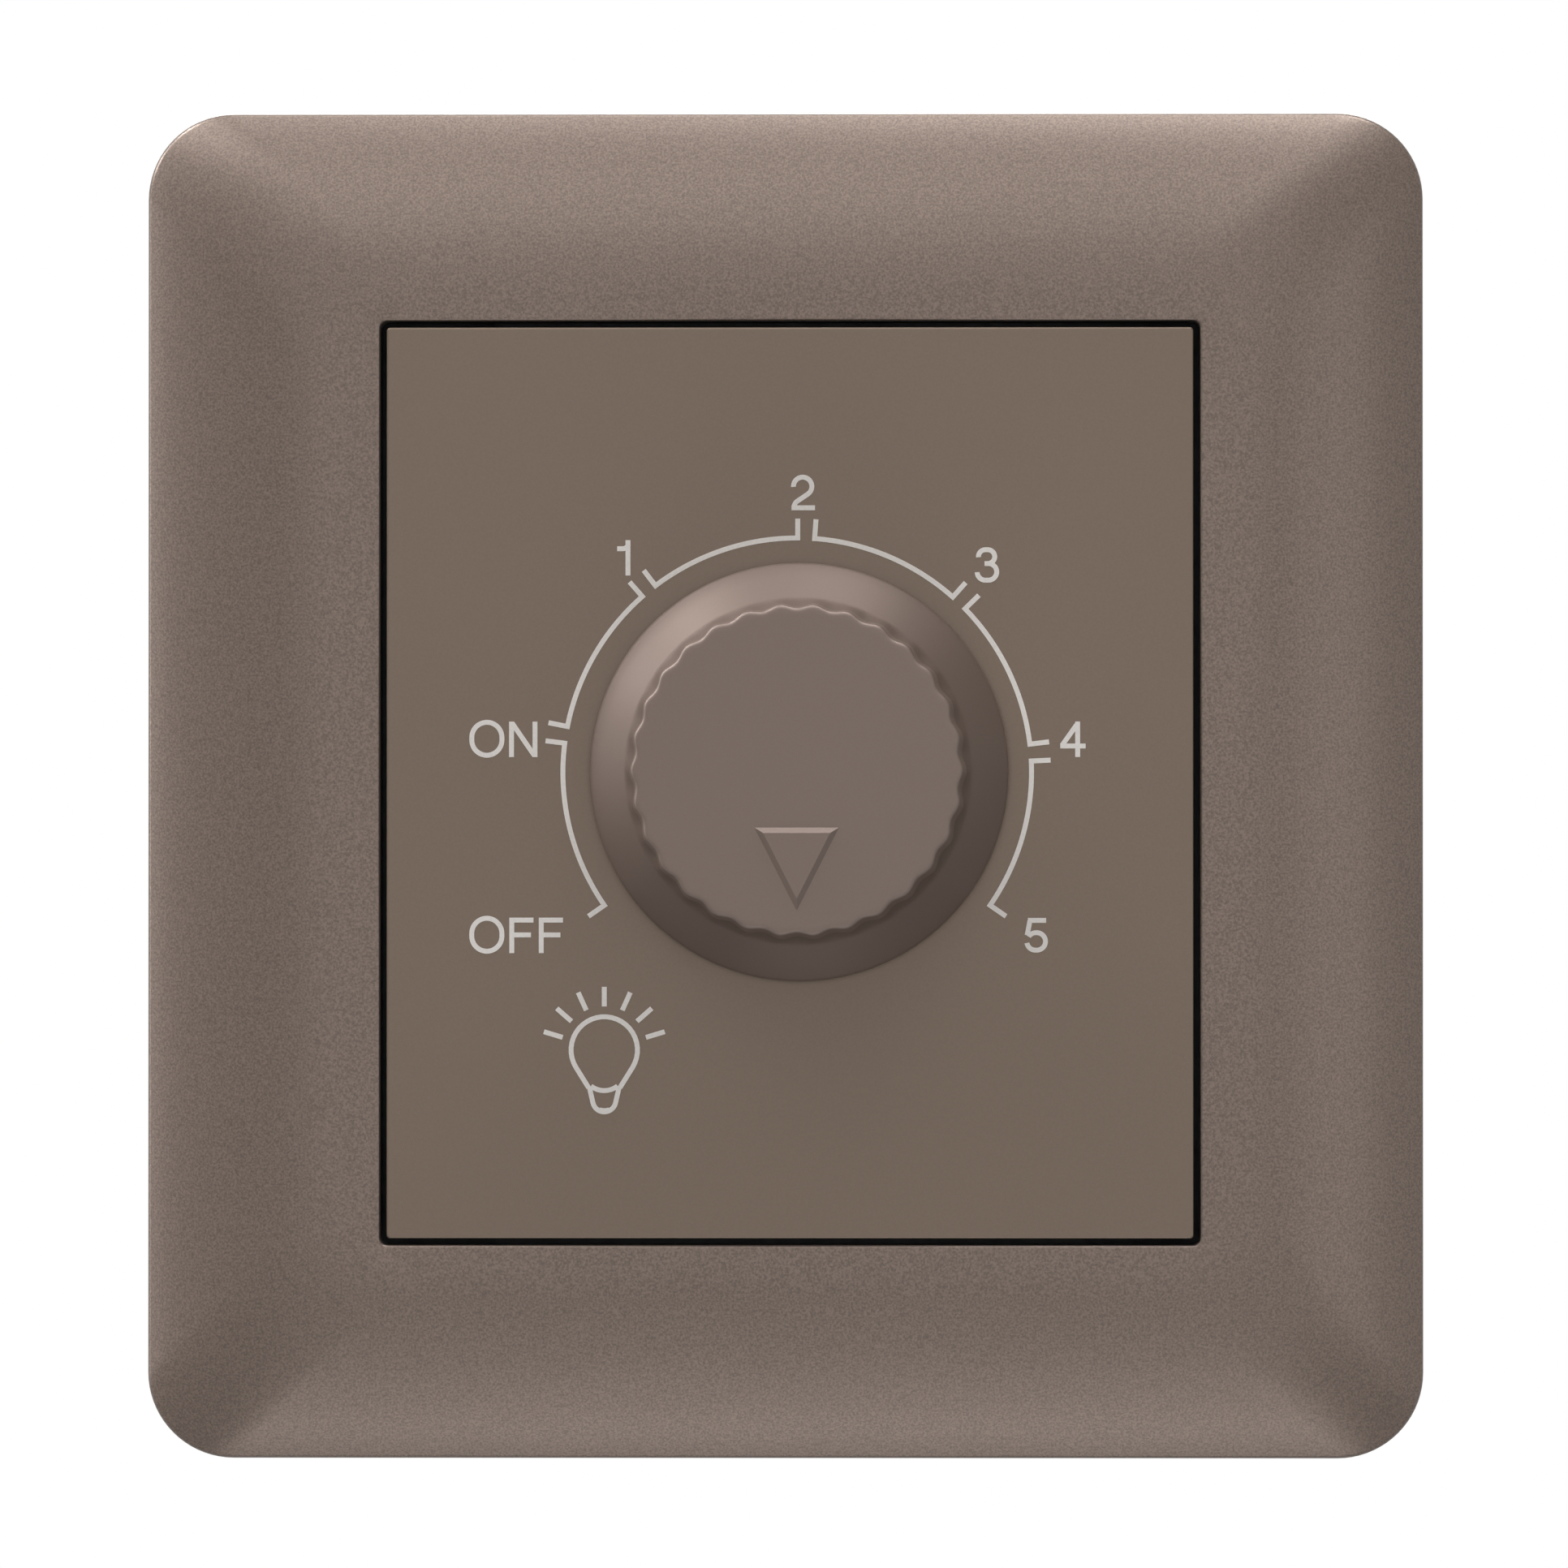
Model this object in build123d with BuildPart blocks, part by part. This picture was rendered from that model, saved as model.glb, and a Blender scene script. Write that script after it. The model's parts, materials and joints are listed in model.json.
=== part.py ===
from build123d import *
import math
import os

# Rotary dimmer on a cover plate for a flush wall box, in millimetres.
# X runs right and Z up as seen from the front, which faces -Y.
# The origin is the centre of the cover plate on the wall plane.
# A depth is a distance in front of the wall plane, so it is minus y, and it is negative inside the wall box.

# Front plate: a shell with a flat face, a border that rolls off on one arc, and a window
PLATE_WIDTH = 86.0
PLATE_HEIGHT = 90.7
PLATE_CORNER_RADIUS = 5.8
PLATE_DEPTH = 9.6
PLATE_WALL = 2.0
PLATE_EDGE_ROUND = 0.5
CROWN_DROP = 4.2
CROWN_SECTIONS = 6
WINDOW_WIDTH = 55.07
WINDOW_HEIGHT = 62.07
WINDOW_SHIFT_X = 0.375
WINDOW_SHIFT_Z = 0.148
WINDOW_CORNER_RADIUS = 0.5
WINDOW_EDGE_ROUND = 0.2
WINDOW_MARGIN = 1.75
COLLAR_WALL = 1.4
COLLAR_HEIGHT = 1.6

# Dial plate: the face of the module, flush in the window
DIAL_GAP = 0.44
DIAL_THICKNESS = 2.0
DIAL_EDGE_ROUND = 0.15
DIAL_CORNER_RADIUS = 0.25
DIAL_SKIRT_INSET = 0.44
DIAL_SKIRT_WALL = 1.4
HOOK_WIDTH = 5.0
HOOK_THICKNESS = 1.3
HOOK_BARB = 0.5
HOOK_BARB_HEIGHT = 1.0
HOOK_SPACING_X = 26.0
HOOK_WALL_GAP = 0.5
HOOK_CLEARANCE = 0.2

# Support frame on the wall, with two holes for the screws of the wall box
FRAME_THICKNESS = 2.2
FRAME_CLEARANCE = 1.0
FRAME_LEDGE = 3.2
SCREW_SPACING = 60.3
SCREW_HOLE_RADIUS = 2.1
HOLE_WEB = 1.9
LIP_LENGTH = 40.0
LIP_WIDTH = 1.2
LIP_HEIGHT = 1.2
LIP_CLEARANCE = 0.3

# Snap posts on the frame and catches under the plate's border
CLIP_INSET = 2.4
CLIP_SPACING_Z = 50.0
CLIP_LENGTH = 8.0
CLIP_WALL = 1.3
CLIP_BARB = 0.5
CLIP_BARB_HEIGHT = 1.1
CLIP_CLEARANCE = 0.2
CLIP_TOP_CLEARANCE = 0.6

# Chassis plate of the module, seated on the frame
CHASSIS_THICKNESS = 1.8
CHASSIS_SEAT = 1.9
CHASSIS_CORNER_RADIUS = 2.0

# Rear casing
CASING_CLEARANCE = 0.3
CASING_WALL = 1.5
CASING_REAR_WALL = 1.6
CASING_CORNER_RADIUS = 3.0
CASING_REAR_ROUND = 1.0
POST_RADIUS = 2.7
POST_INSET = 1.8
LUG_WIDTH = 8.0
LUG_SPACING = 24.0
LUG_REACH = 0.9
LUG_LENGTH = 2.4
LEDGE_WIDTH = 8.0
LEDGE_REACH = 2.0
VENT_WIDTH = 2.0
VENT_LENGTH = 15.0
VENT_PITCH = 4.4
VENT_COUNT = 8

# Screws that hold the casing to the chassis
CASING_SCREW_RADIUS = 1.1
CASING_SCREW_LENGTH = 10.0
CASING_SCREW_HEAD_RADIUS = 2.2
CASING_SCREW_HEAD_HEIGHT = 1.5
CROSS_LENGTH = 2.4
CROSS_WIDTH = 0.6
CROSS_DEPTH = 0.8
SCREW_CLEARANCE = 0.05
HOLE_CLEARANCE = 0.25

# Knob
KNOB_SHIFT_X = 0.645
KNOB_SHIFT_Z = 0.705
KNOB_RADIUS = 14.03
KNOB_HEIGHT = 12.0
KNOB_GAP = 0.5
KNOB_WALL = 1.6
KNOB_TOP = 1.8
SKIRT_EDGE = 0.8
SKIRT_ANGLE = 57.0
GRIP_RADIUS = 10.9
GRIP_DRAFT = 2.0
GRIP_EDGE = 0.3
FLUTES = 30
FLUTE_DEPTH = 0.26
POINTER_WIDTH = 5.6
POINTER_LENGTH = 5.5
POINTER_START = 3.8
POINTER_HEIGHT = 0.3
POINTER_TAPER = 50.0
BOSS_RADIUS = 5.0
BOSS_RECESS = 0.8
RIB_COUNT = 6
RIB_WALL = 1.0
RIB_RECESS = 5.0
GRIP_SPRING_THICKNESS = 0.3
GRIP_SPRING_WIDTH = 4.0
GRIP_SPRING_LIP = 2.4

# Shaft and its bearing
KNOB_TRAVEL_ANGLE = 304.7
SHAFT_RADIUS = 3.0
SHAFT_FLAT = 1.5
SHAFT_END_CHAMFER = 0.5
SHAFT_END_GAP = 0.6
SHAFT_TAIL_RADIUS = 2.0
SHAFT_END_PLAY = 0.1
RUNNING_CLEARANCE = 0.05
BUSHING_RADIUS = 3.5
BUSHING_FLANGE = 1.2
BUSHING_PROUD = 0.3
NUT_FLATS = 10.0
NUT_THICKNESS = 2.0
WASHER_RADIUS = 5.6
WASHER_THICKNESS = 0.5
WASHER_TEETH = 10
WASHER_TOOTH_GAP = 0.8
RING_RADIUS = 4.2
RING_THICKNESS = 0.5
RING_GROOVE_RADIUS = 2.4
RING_CLEARANCE = 0.05
RING_SPAN_ANGLE = 300.0
DIAL_HOLE_CLEARANCE = 0.5

# Potentiometer
POT_RADIUS = 8.0
POT_DEPTH = 8.4
CAN_WALL = 0.5
CAN_REAR_WALL = 0.6
WAFER_THICKNESS = 1.0
WAFER_CLEARANCE = 0.1
ROTOR_RADIUS = 5.6
ROTOR_THICKNESS = 2.6
ROTOR_GAP = 0.4
STOP_CLEARANCE = 0.3
STOP_LUG_SPAN_ANGLE = 24.0
STOP_PLAY_ANGLE = 0.7
STOP_PLACE_ANGLE = 90.0
WIPER_RADIUS = 4.6
WIPER_THICKNESS = 0.3
FINGER_SPAN_ANGLE = 24.0
WIPER_FINGER_WIDTH = 1.2
WIPER_CLEARANCE = 0.1
PIN_PITCH = 3.6
PIN_WIDTH = 1.0
PIN_THICKNESS = 0.4
PIN_INSET = 1.2
PIN_REACH = 1.6

# Mains switch behind the potentiometer
SWITCH_SIZE = 15.0
SWITCH_WALL = 0.9
CAM_RADIUS = 3.0
CAM_LOBE_RADIUS = 1.2
CAM_REACH = 4.7
CAM_LENGTH = 4.0
CAM_GAP = 1.0
CAM_CLEARANCE = 0.1
LEAF_THICKNESS = 0.35
LEAF_LENGTH = 11.4
TAIL_WIDTH = 1.2
CONTACT_OPENING = 0.6
CONTACT_WIDTH = 1.4
RIVET_RADIUS = 0.8
RIVET_HEIGHT = 0.5

# Circuit board and what stands on it
BOARD_THICKNESS = 1.6
BOARD_CLEARANCE = 0.4
LEAD_RADIUS = 0.3
LEAD_PROUD = 1.2
LEAD_CLEARANCE = 0.2
TRIAC_WIDTH = 10.2
TRIAC_HEIGHT = 15.6
TRIAC_BODY_HEIGHT = 9.2
TRIAC_BODY_THICKNESS = 3.2
TRIAC_TAB_THICKNESS = 1.3
TRIAC_HOLE_INSET = 2.8
TRIAC_HOLE_RADIUS = 1.8
TRIAC_LEAD_PITCH = 2.54
TRIAC_LEAD_WIDTH = 0.8
TRIAC_LEAD_THICKNESS = 0.5
TRIAC_STANDOFF = 1.0
TRIAC_TOP_CLEARANCE = 0.6
TRIAC_SCREW_RADIUS = 1.5
TRIAC_SCREW_HEAD_RADIUS = 2.75
TRIAC_SCREW_HEAD_HEIGHT = 2.0
TRIAC_SCREW_PROUD = 0.5
TRIAC_NUT_FLATS = 5.5
TRIAC_NUT_THICKNESS = 2.4
PAD_THICKNESS = 0.3
PAD_MARGIN = 0.8
HEAT_SINK_WIDTH = 32.0
HEAT_SINK_WALL = 1.5
HEAT_SINK_FOOT = 2.4
HEAT_SINK_CLEARANCE = 0.5
CHOKE_INNER_RADIUS = 2.8
CHOKE_OUTER_RADIUS = 5.2
CHOKE_HEIGHT = 4.6
CHOKE_TURNS = 16
WIRE_THICKNESS = 0.6
WIRE_GAP = 0.05
FILTER_WIDTH = 6.5
FILTER_LENGTH = 13.0
FILTER_HEIGHT = 11.0
FILTER_LEAD_PITCH = 10.0
TIMING_WIDTH = 3.5
TIMING_LENGTH = 7.2
TIMING_HEIGHT = 7.0
TIMING_LEAD_PITCH = 5.0
CASE_ROUND = 0.5
PART_SPACING = 1.5
RESISTOR_RADIUS = 1.2
RESISTOR_LENGTH = 6.4
RESISTOR_SPAN = 10.0
RESISTOR_COUNT = 2
DIAC_RADIUS = 0.9
DIAC_LENGTH = 4.0
DIAC_SPAN = 7.6
LEAD_BEND = 0.8

# Fuse
FUSE_RADIUS = 2.6
FUSE_LENGTH = 20.0
FUSE_CAP_LENGTH = 5.0
FUSE_CAP_WALL = 0.2
FUSE_GLASS_WALL = 0.5
FUSE_WIRE_RADIUS = 0.15
FUSE_CLEARANCE = 0.02
CLIP_STRIP = 0.4
CLIP_STRIP_WIDTH = 4.0
CLIP_SPAN_ANGLE = 260.0
CLIP_STEM = 0.8
CLIP_STEM_WIDTH = 2.4

# Wiring terminals at the rear bottom edge
TERMINAL_COUNT = 2
TERMINAL_PITCH = 9.0
TERMINAL_DEPTH = 12.2
TERMINAL_HEIGHT = 12.0
TERMINAL_WALL = 1.6
TERMINAL_BAY_CLEARANCE = 0.3
CLAMP_WIDTH = 6.0
CLAMP_HEIGHT = 8.0
CLAMP_DEPTH = 8.4
CLAMP_CLEARANCE = 0.1
CLAMP_PIN = 1.2
WIRE_BORE_RADIUS = 1.75
WIRE_BORE_WALL = 1.0
TERMINAL_SCREW_RADIUS = 1.45
TERMINAL_SCREW_HEAD_RADIUS = 2.6
TERMINAL_SCREW_HEAD_HEIGHT = 2.0
TERMINAL_SCREW_BACKED_OFF = 1.0
TERMINAL_SCREW_TIP_GAP = 0.3
TERMINAL_ACCESS_CLEARANCE = 0.3
SLOT_CUT_WIDTH = 0.7
SLOT_CUT_DEPTH = 1.0

# Centres of the module and of the knob
MODULE_X = WINDOW_SHIFT_X
MODULE_Z = WINDOW_SHIFT_Z
KNOB_X = MODULE_X + KNOB_SHIFT_X
KNOB_Z = MODULE_Z + KNOB_SHIFT_Z
KNOB_AXIS = Axis((KNOB_X, 0, KNOB_Z), (0, 1, 0))

# The flat band round the window is narrowest on one side, and the rolled border takes the rest of that side
BORDER_X = (PLATE_WIDTH - WINDOW_WIDTH) / 2 - abs(WINDOW_SHIFT_X)
BORDER_Z = (PLATE_HEIGHT - WINDOW_HEIGHT) / 2 - abs(WINDOW_SHIFT_Z)
CROWN_RUN = min(BORDER_X, BORDER_Z) - WINDOW_MARGIN

# Outlines worked out from the window inwards, with a web left beside the screw holes
DIAL_WIDTH = WINDOW_WIDTH - 2 * DIAL_GAP
DIAL_HEIGHT = WINDOW_HEIGHT - 2 * DIAL_GAP
HOLE_ROOM = SCREW_SPACING - 2 * (SCREW_HOLE_RADIUS + HOLE_WEB + abs(MODULE_X))
OPENING_WIDTH = min(WINDOW_WIDTH - 2 * FRAME_LEDGE, HOLE_ROOM)
OPENING_HEIGHT = WINDOW_HEIGHT - 2 * FRAME_LEDGE
CHASSIS_WIDTH = OPENING_WIDTH + 2 * CHASSIS_SEAT
CHASSIS_HEIGHT = OPENING_HEIGHT + 2 * CHASSIS_SEAT
DIAL_SKIRT_WIDTH = CHASSIS_WIDTH - 2 * DIAL_SKIRT_INSET
DIAL_SKIRT_HEIGHT = CHASSIS_HEIGHT - 2 * DIAL_SKIRT_INSET
CASING_WIDTH = OPENING_WIDTH - 2 * CASING_CLEARANCE
CASING_HEIGHT = OPENING_HEIGHT - 2 * CASING_CLEARANCE
INSIDE_WIDTH = CASING_WIDTH - 2 * CASING_WALL
INSIDE_HEIGHT = CASING_HEIGHT - 2 * CASING_WALL
INSIDE_LEFT = MODULE_X - INSIDE_WIDTH / 2
INSIDE_RIGHT = MODULE_X + INSIDE_WIDTH / 2
INSIDE_TOP = MODULE_Z + INSIDE_HEIGHT / 2
INSIDE_BOTTOM = MODULE_Z - INSIDE_HEIGHT / 2
POST_SPACING_X = INSIDE_WIDTH - 2 * POST_INSET
POST_SPACING_Z = INSIDE_HEIGHT - 2 * POST_INSET
BOARD_WIDTH = INSIDE_WIDTH - 2 * BOARD_CLEARANCE
BOARD_HEIGHT = INSIDE_HEIGHT - 2 * BOARD_CLEARANCE
FRAME_WIDTH = PLATE_WIDTH - 2 * (PLATE_WALL + FRAME_CLEARANCE)
FRAME_HEIGHT = PLATE_HEIGHT - 2 * (PLATE_WALL + FRAME_CLEARANCE)

# Depths, from the front to the rear
DIAL_BACK = PLATE_DEPTH - DIAL_THICKNESS
CHASSIS_FRONT = FRAME_THICKNESS + CHASSIS_THICKNESS
CHASSIS_REAR = FRAME_THICKNESS
WASHER_FRONT = CHASSIS_FRONT + WASHER_THICKNESS
NUT_FRONT = WASHER_FRONT + NUT_THICKNESS
BUSHING_FRONT = NUT_FRONT + BUSHING_PROUD
RING_REAR = BUSHING_FRONT + SHAFT_END_PLAY
RING_FRONT = RING_REAR + RING_THICKNESS
FLANGE_REAR = CHASSIS_REAR - BUSHING_FLANGE
ROTOR_FRONT = FLANGE_REAR - ROTOR_GAP
ROTOR_REAR = ROTOR_FRONT - ROTOR_THICKNESS
POT_REAR = CHASSIS_REAR - POT_DEPTH
WAFER_REAR = POT_REAR + CAN_REAR_WALL
WAFER_FRONT = WAFER_REAR + WAFER_THICKNESS
BOARD_FRONT = CHASSIS_REAR - TRIAC_TOP_CLEARANCE - TRIAC_HEIGHT - TRIAC_STANDOFF
BOARD_REAR = BOARD_FRONT - BOARD_THICKNESS
LEAD_END = BOARD_REAR - LEAD_PROUD
CAM_FRONT = POT_REAR - SWITCH_WALL - CAM_GAP
CAM_REAR = CAM_FRONT - CAM_LENGTH
CASING_REAR = BOARD_REAR - TERMINAL_DEPTH
KNOB_BASE = PLATE_DEPTH + KNOB_GAP
KNOB_FRONT = KNOB_BASE + KNOB_HEIGHT
KNOB_CEILING = KNOB_FRONT - KNOB_TOP
BOSS_REAR = KNOB_BASE + BOSS_RECESS
SHAFT_FRONT = KNOB_CEILING - SHAFT_END_GAP

# Places on the board
LEFT_X = (INSIDE_LEFT + KNOB_X - POT_RADIUS) / 2
RIGHT_X = (INSIDE_RIGHT + KNOB_X + POT_RADIUS) / 2
HEAT_SINK_OUTER = INSIDE_TOP - TRIAC_NUT_THICKNESS - TRIAC_SCREW_PROUD - HEAT_SINK_CLEARANCE
HEAT_SINK_INNER = HEAT_SINK_OUTER - HEAT_SINK_WALL
TAB_TOP = HEAT_SINK_INNER - PAD_THICKNESS
TAB_BOTTOM = TAB_TOP - TRIAC_TAB_THICKNESS
TRIAC_REAR = BOARD_FRONT + TRIAC_STANDOFF
TRIAC_FRONT = TRIAC_REAR + TRIAC_HEIGHT
TRIAC_LEAD_Z = TAB_BOTTOM - TRIAC_BODY_THICKNESS / 2
TRIAC_HOLE_DEPTH = TRIAC_FRONT - TRIAC_HOLE_INSET
CHOKE_REACH = CHOKE_OUTER_RADIUS + WIRE_GAP + WIRE_THICKNESS
CHOKE_Z = KNOB_Z
CHOKE_REAR = BOARD_FRONT + WIRE_GAP + WIRE_THICKNESS
TIMING_Z = CHOKE_Z - CHOKE_REACH - PART_SPACING - TIMING_LENGTH / 2
FILTER_Z = KNOB_Z
RESISTOR_PITCH = 2 * RESISTOR_RADIUS + PART_SPACING
RESISTOR_Z = CHOKE_Z + CHOKE_REACH + PART_SPACING + RESISTOR_RADIUS
DIAC_Z = FILTER_Z + FILTER_LENGTH / 2 + PART_SPACING + DIAC_RADIUS
PIN_Z = KNOB_Z - POT_RADIUS - PIN_REACH
FUSE_Z = (PIN_Z + INSIDE_BOTTOM) / 2
FUSE_DEPTH = BOARD_FRONT + CLIP_STEM + CLIP_STRIP + FUSE_RADIUS
FUSE_CLIP_SPACING = FUSE_LENGTH - FUSE_CAP_LENGTH
SWITCH_INSIDE = SWITCH_SIZE - 2 * SWITCH_WALL
LEAF_X = KNOB_X + CAM_REACH + CAM_CLEARANCE
LEAF_TAIL_Z = KNOB_Z - LEAF_LENGTH / 2 + TAIL_WIDTH / 2
RIVET_X = LEAF_X - CONTACT_OPENING - RIVET_HEIGHT
CONTACT_Z = KNOB_Z + LEAF_LENGTH / 2 - CONTACT_WIDTH / 2
CONTACT_X = RIVET_X - LEAF_THICKNESS
BLOCK_BOTTOM = MODULE_Z - CASING_HEIGHT / 2
BLOCK_Z = BLOCK_BOTTOM + TERMINAL_HEIGHT / 2
BLOCK_WIDTH = TERMINAL_COUNT * TERMINAL_PITCH + 2 * CLAMP_CLEARANCE
CLAMP_BOTTOM = BLOCK_BOTTOM + TERMINAL_WALL
CLAMP_Z = CLAMP_BOTTOM + CLAMP_HEIGHT / 2
CLAMP_REAR = BOARD_REAR - CLAMP_DEPTH
WIRE_BORE_DEPTH = BOARD_REAR - WIRE_BORE_WALL - WIRE_BORE_RADIUS
TERMINAL_SCREW_SEAT = CLAMP_REAR - TERMINAL_SCREW_BACKED_OFF
TERMINAL_SCREW_TIP = WIRE_BORE_DEPTH - WIRE_BORE_RADIUS - TERMINAL_SCREW_TIP_GAP
TERMINAL_X = [MODULE_X + (way - (TERMINAL_COUNT - 1) / 2) * TERMINAL_PITCH for way in range(TERMINAL_COUNT)]

# How close an edge lies to the place that it is picked by
PICK_TOLERANCE = 0.01

# The border's arc: its radius follows from the run and the drop
CROWN_RADIUS = (CROWN_RUN**2 + CROWN_DROP**2) / (2 * CROWN_DROP)


def crown_depth(inset, skin=0.0):
    """Depth of the border at a distance in from the plate's outline, a skin below its outer surface."""
    radius = CROWN_RADIUS - skin
    run = max(CROWN_RUN - inset, 0.0)
    return PLATE_DEPTH - CROWN_RADIUS + math.sqrt(radius**2 - run**2)


def crown_insets(skin):
    """Distances in from the plate's outline at even angles along the border's arc."""
    radius = CROWN_RADIUS - skin
    steepest = math.asin((CROWN_RUN - skin) / radius)
    angles = [steepest * (1 - step / CROWN_SECTIONS) for step in range(CROWN_SECTIONS + 1)]
    return [CROWN_RUN - radius * math.sin(angle) for angle in angles]


def facing(depth, x=0.0, z=0.0):
    """Plane that faces the viewer at a depth, centred on (x, z)."""
    return Plane(origin=(x, -depth, z), x_dir=(1, 0, 0), z_dir=(0, -1, 0))


def rising(z, x, depth):
    """Plane that faces up at a height, centred on x and a depth; its own y runs towards the wall."""
    return Plane(origin=(x, -depth, z), x_dir=(1, 0, 0), z_dir=(0, 0, 1))


def side_section(x):
    """Plane that faces left at x: its own x is the depth and its own y the height."""
    return Plane(origin=(x, 0, 0), x_dir=(0, -1, 0), z_dir=(-1, 0, 0))


def half_section(x, z, turn=0.0):
    """Plane through a front-to-back axis: its own x is the radius and its own y the depth."""
    cosine = math.cos(math.radians(turn))
    sine = math.sin(math.radians(turn))
    return Plane(origin=(x, 0, z), x_dir=(cosine, 0, sine), z_dir=(sine, 0, -cosine))


def ring_sector(plane, inner, outer, middle, arc):
    """Part of a flat ring, centred on an angle counter-clockwise from the plane's own x."""
    with BuildSketch(plane) as sector:
        with BuildLine():
            wide = CenterArc((0, 0), outer, middle - arc / 2, arc)
            narrow = CenterArc((0, 0), inner, middle - arc / 2, arc)
            Line(wide @ 0, narrow @ 0)
            Line(wide @ 1, narrow @ 1)
        make_face()
    return sector.sketch


def grip_outline(depth, radius):
    """Fluted outline of the grip, made of arcs that bulge in and out by turns from the bottom round."""
    half_pitch = math.pi / FLUTES
    with BuildSketch(facing(depth, KNOB_X, KNOB_Z)) as outline:
        with BuildLine():
            for flute in range(2 * FLUTES):
                bulge = -FLUTE_DEPTH / 2 * (-1) ** flute
                angles = [(flute + share) * half_pitch for share in (-0.5, 0, 0.5)]
                radii = [radius, radius + bulge, radius]
                points = [(r * math.sin(a), -r * math.cos(a)) for r, a in zip(radii, angles)]
                ThreePointArc(*points)
        make_face()
    return outline.sketch


def axial_component(x, z, span, radius, length):
    """Body lying along X above the board, on a lead bent down into the board at both ends."""
    axis_depth = BOARD_FRONT + radius
    with BuildPart() as component:
        with BuildLine() as lead:
            FilletPolyline(
                (x - span / 2, -LEAD_END, z),
                (x - span / 2, -axis_depth, z),
                (x + span / 2, -axis_depth, z),
                (x + span / 2, -LEAD_END, z),
                radius=LEAD_BEND,
            )
        with BuildSketch(facing(LEAD_END, x - span / 2, z)):
            Circle(LEAD_RADIUS)
        sweep(path=lead.wires()[0])
        with BuildSketch(Plane(origin=(x, -axis_depth, z), x_dir=(0, -1, 0), z_dir=(-1, 0, 0))):
            Circle(radius)
        extrude(amount=length / 2, both=True)
    return component.part


def boxed_component(x, z, width, length, height, lead_pitch):
    """Box standing on the board with its length along Z, and two straight leads."""
    with BuildPart() as component:
        with BuildSketch(facing(BOARD_FRONT, x, z)):
            RectangleRounded(width, length, CASE_ROUND)
        extrude(amount=height)
        fillet(component.faces().sort_by(Axis.Y)[0].edges(), CASE_ROUND / 2)
        with BuildSketch(facing(BOARD_FRONT, x, z)):
            with GridLocations(0, lead_pitch, 1, 2):
                Circle(LEAD_RADIUS)
        extrude(amount=LEAD_END - BOARD_FRONT)
    return component.part


# Front plate
CLIP_POST_OUTER = FRAME_WIDTH / 2 - CLIP_INSET
CLIP_BARB_TIP = CLIP_POST_OUTER + CLIP_BARB
CLIP_TOP = crown_depth(PLATE_WIDTH / 2 - CLIP_BARB_TIP, PLATE_WALL) - CLIP_TOP_CLEARANCE
CATCH_INNER = CLIP_POST_OUTER + CLIP_CLEARANCE
CATCH_WEB = CLIP_BARB_TIP + CLIP_CLEARANCE
CATCH_OUTER = CATCH_WEB + CLIP_WALL
CATCH_REAR = FRAME_THICKNESS + 2 * CLIP_CLEARANCE
CATCH_FRONT = CLIP_TOP - CLIP_BARB_HEIGHT - CLIP_CLEARANCE
CATCH_ROOT = crown_depth(PLATE_WIDTH / 2 - CATCH_OUTER, PLATE_WALL / 2)

with BuildPart() as front_plate:
    with BuildSketch(facing(0)):
        RectangleRounded(PLATE_WIDTH, PLATE_HEIGHT, PLATE_CORNER_RADIUS)
    extrude(amount=crown_depth(0))
    for inset in crown_insets(0):
        with BuildSketch(facing(crown_depth(inset))):
            RectangleRounded(PLATE_WIDTH - 2 * inset, PLATE_HEIGHT - 2 * inset, PLATE_CORNER_RADIUS)
    loft()
    rim_y = -crown_depth(0)
    rim = front_plate.edges().filter_by_position(Axis.Y, rim_y - PICK_TOLERANCE, rim_y + PICK_TOLERANCE)
    fillet(rim, PLATE_EDGE_ROUND)
    with BuildSketch(facing(0)):
        RectangleRounded(
            PLATE_WIDTH - 2 * PLATE_WALL, PLATE_HEIGHT - 2 * PLATE_WALL, PLATE_CORNER_RADIUS - PLATE_WALL
        )
    extrude(amount=crown_depth(PLATE_WALL, PLATE_WALL), mode=Mode.SUBTRACT)
    for inset in crown_insets(PLATE_WALL):
        with BuildSketch(facing(crown_depth(inset, PLATE_WALL))):
            RectangleRounded(
                PLATE_WIDTH - 2 * inset, PLATE_HEIGHT - 2 * inset, PLATE_CORNER_RADIUS - PLATE_WALL
            )
    loft(mode=Mode.SUBTRACT)
    with BuildSketch(facing(PLATE_DEPTH - PLATE_WALL - COLLAR_HEIGHT, MODULE_X, MODULE_Z)):
        RectangleRounded(WINDOW_WIDTH + 2 * COLLAR_WALL, WINDOW_HEIGHT + 2 * COLLAR_WALL, COLLAR_WALL)
    extrude(amount=COLLAR_HEIGHT)
    with BuildSketch(facing(0, MODULE_X, MODULE_Z)):
        RectangleRounded(WINDOW_WIDTH, WINDOW_HEIGHT, WINDOW_CORNER_RADIUS)
    extrude(amount=PLATE_DEPTH, mode=Mode.SUBTRACT)
    fillet(front_plate.faces().sort_by(Axis.Y)[0].inner_wires()[0].edges(), WINDOW_EDGE_ROUND)
    for side in (-1, 1):
        with BuildSketch(facing(CATCH_REAR, side * (CATCH_WEB + CATCH_OUTER) / 2, 0)):
            with GridLocations(0, CLIP_SPACING_Z, 1, 2):
                Rectangle(CATCH_OUTER - CATCH_WEB, CLIP_LENGTH)
    extrude(amount=CATCH_ROOT - CATCH_REAR)
    for side in (-1, 1):
        with BuildSketch(facing(CATCH_REAR, side * (CATCH_INNER + CATCH_OUTER) / 2, 0)):
            with GridLocations(0, CLIP_SPACING_Z, 1, 2):
                Rectangle(CATCH_OUTER - CATCH_INNER, CLIP_LENGTH)
    extrude(amount=CATCH_FRONT - CATCH_REAR)

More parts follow.
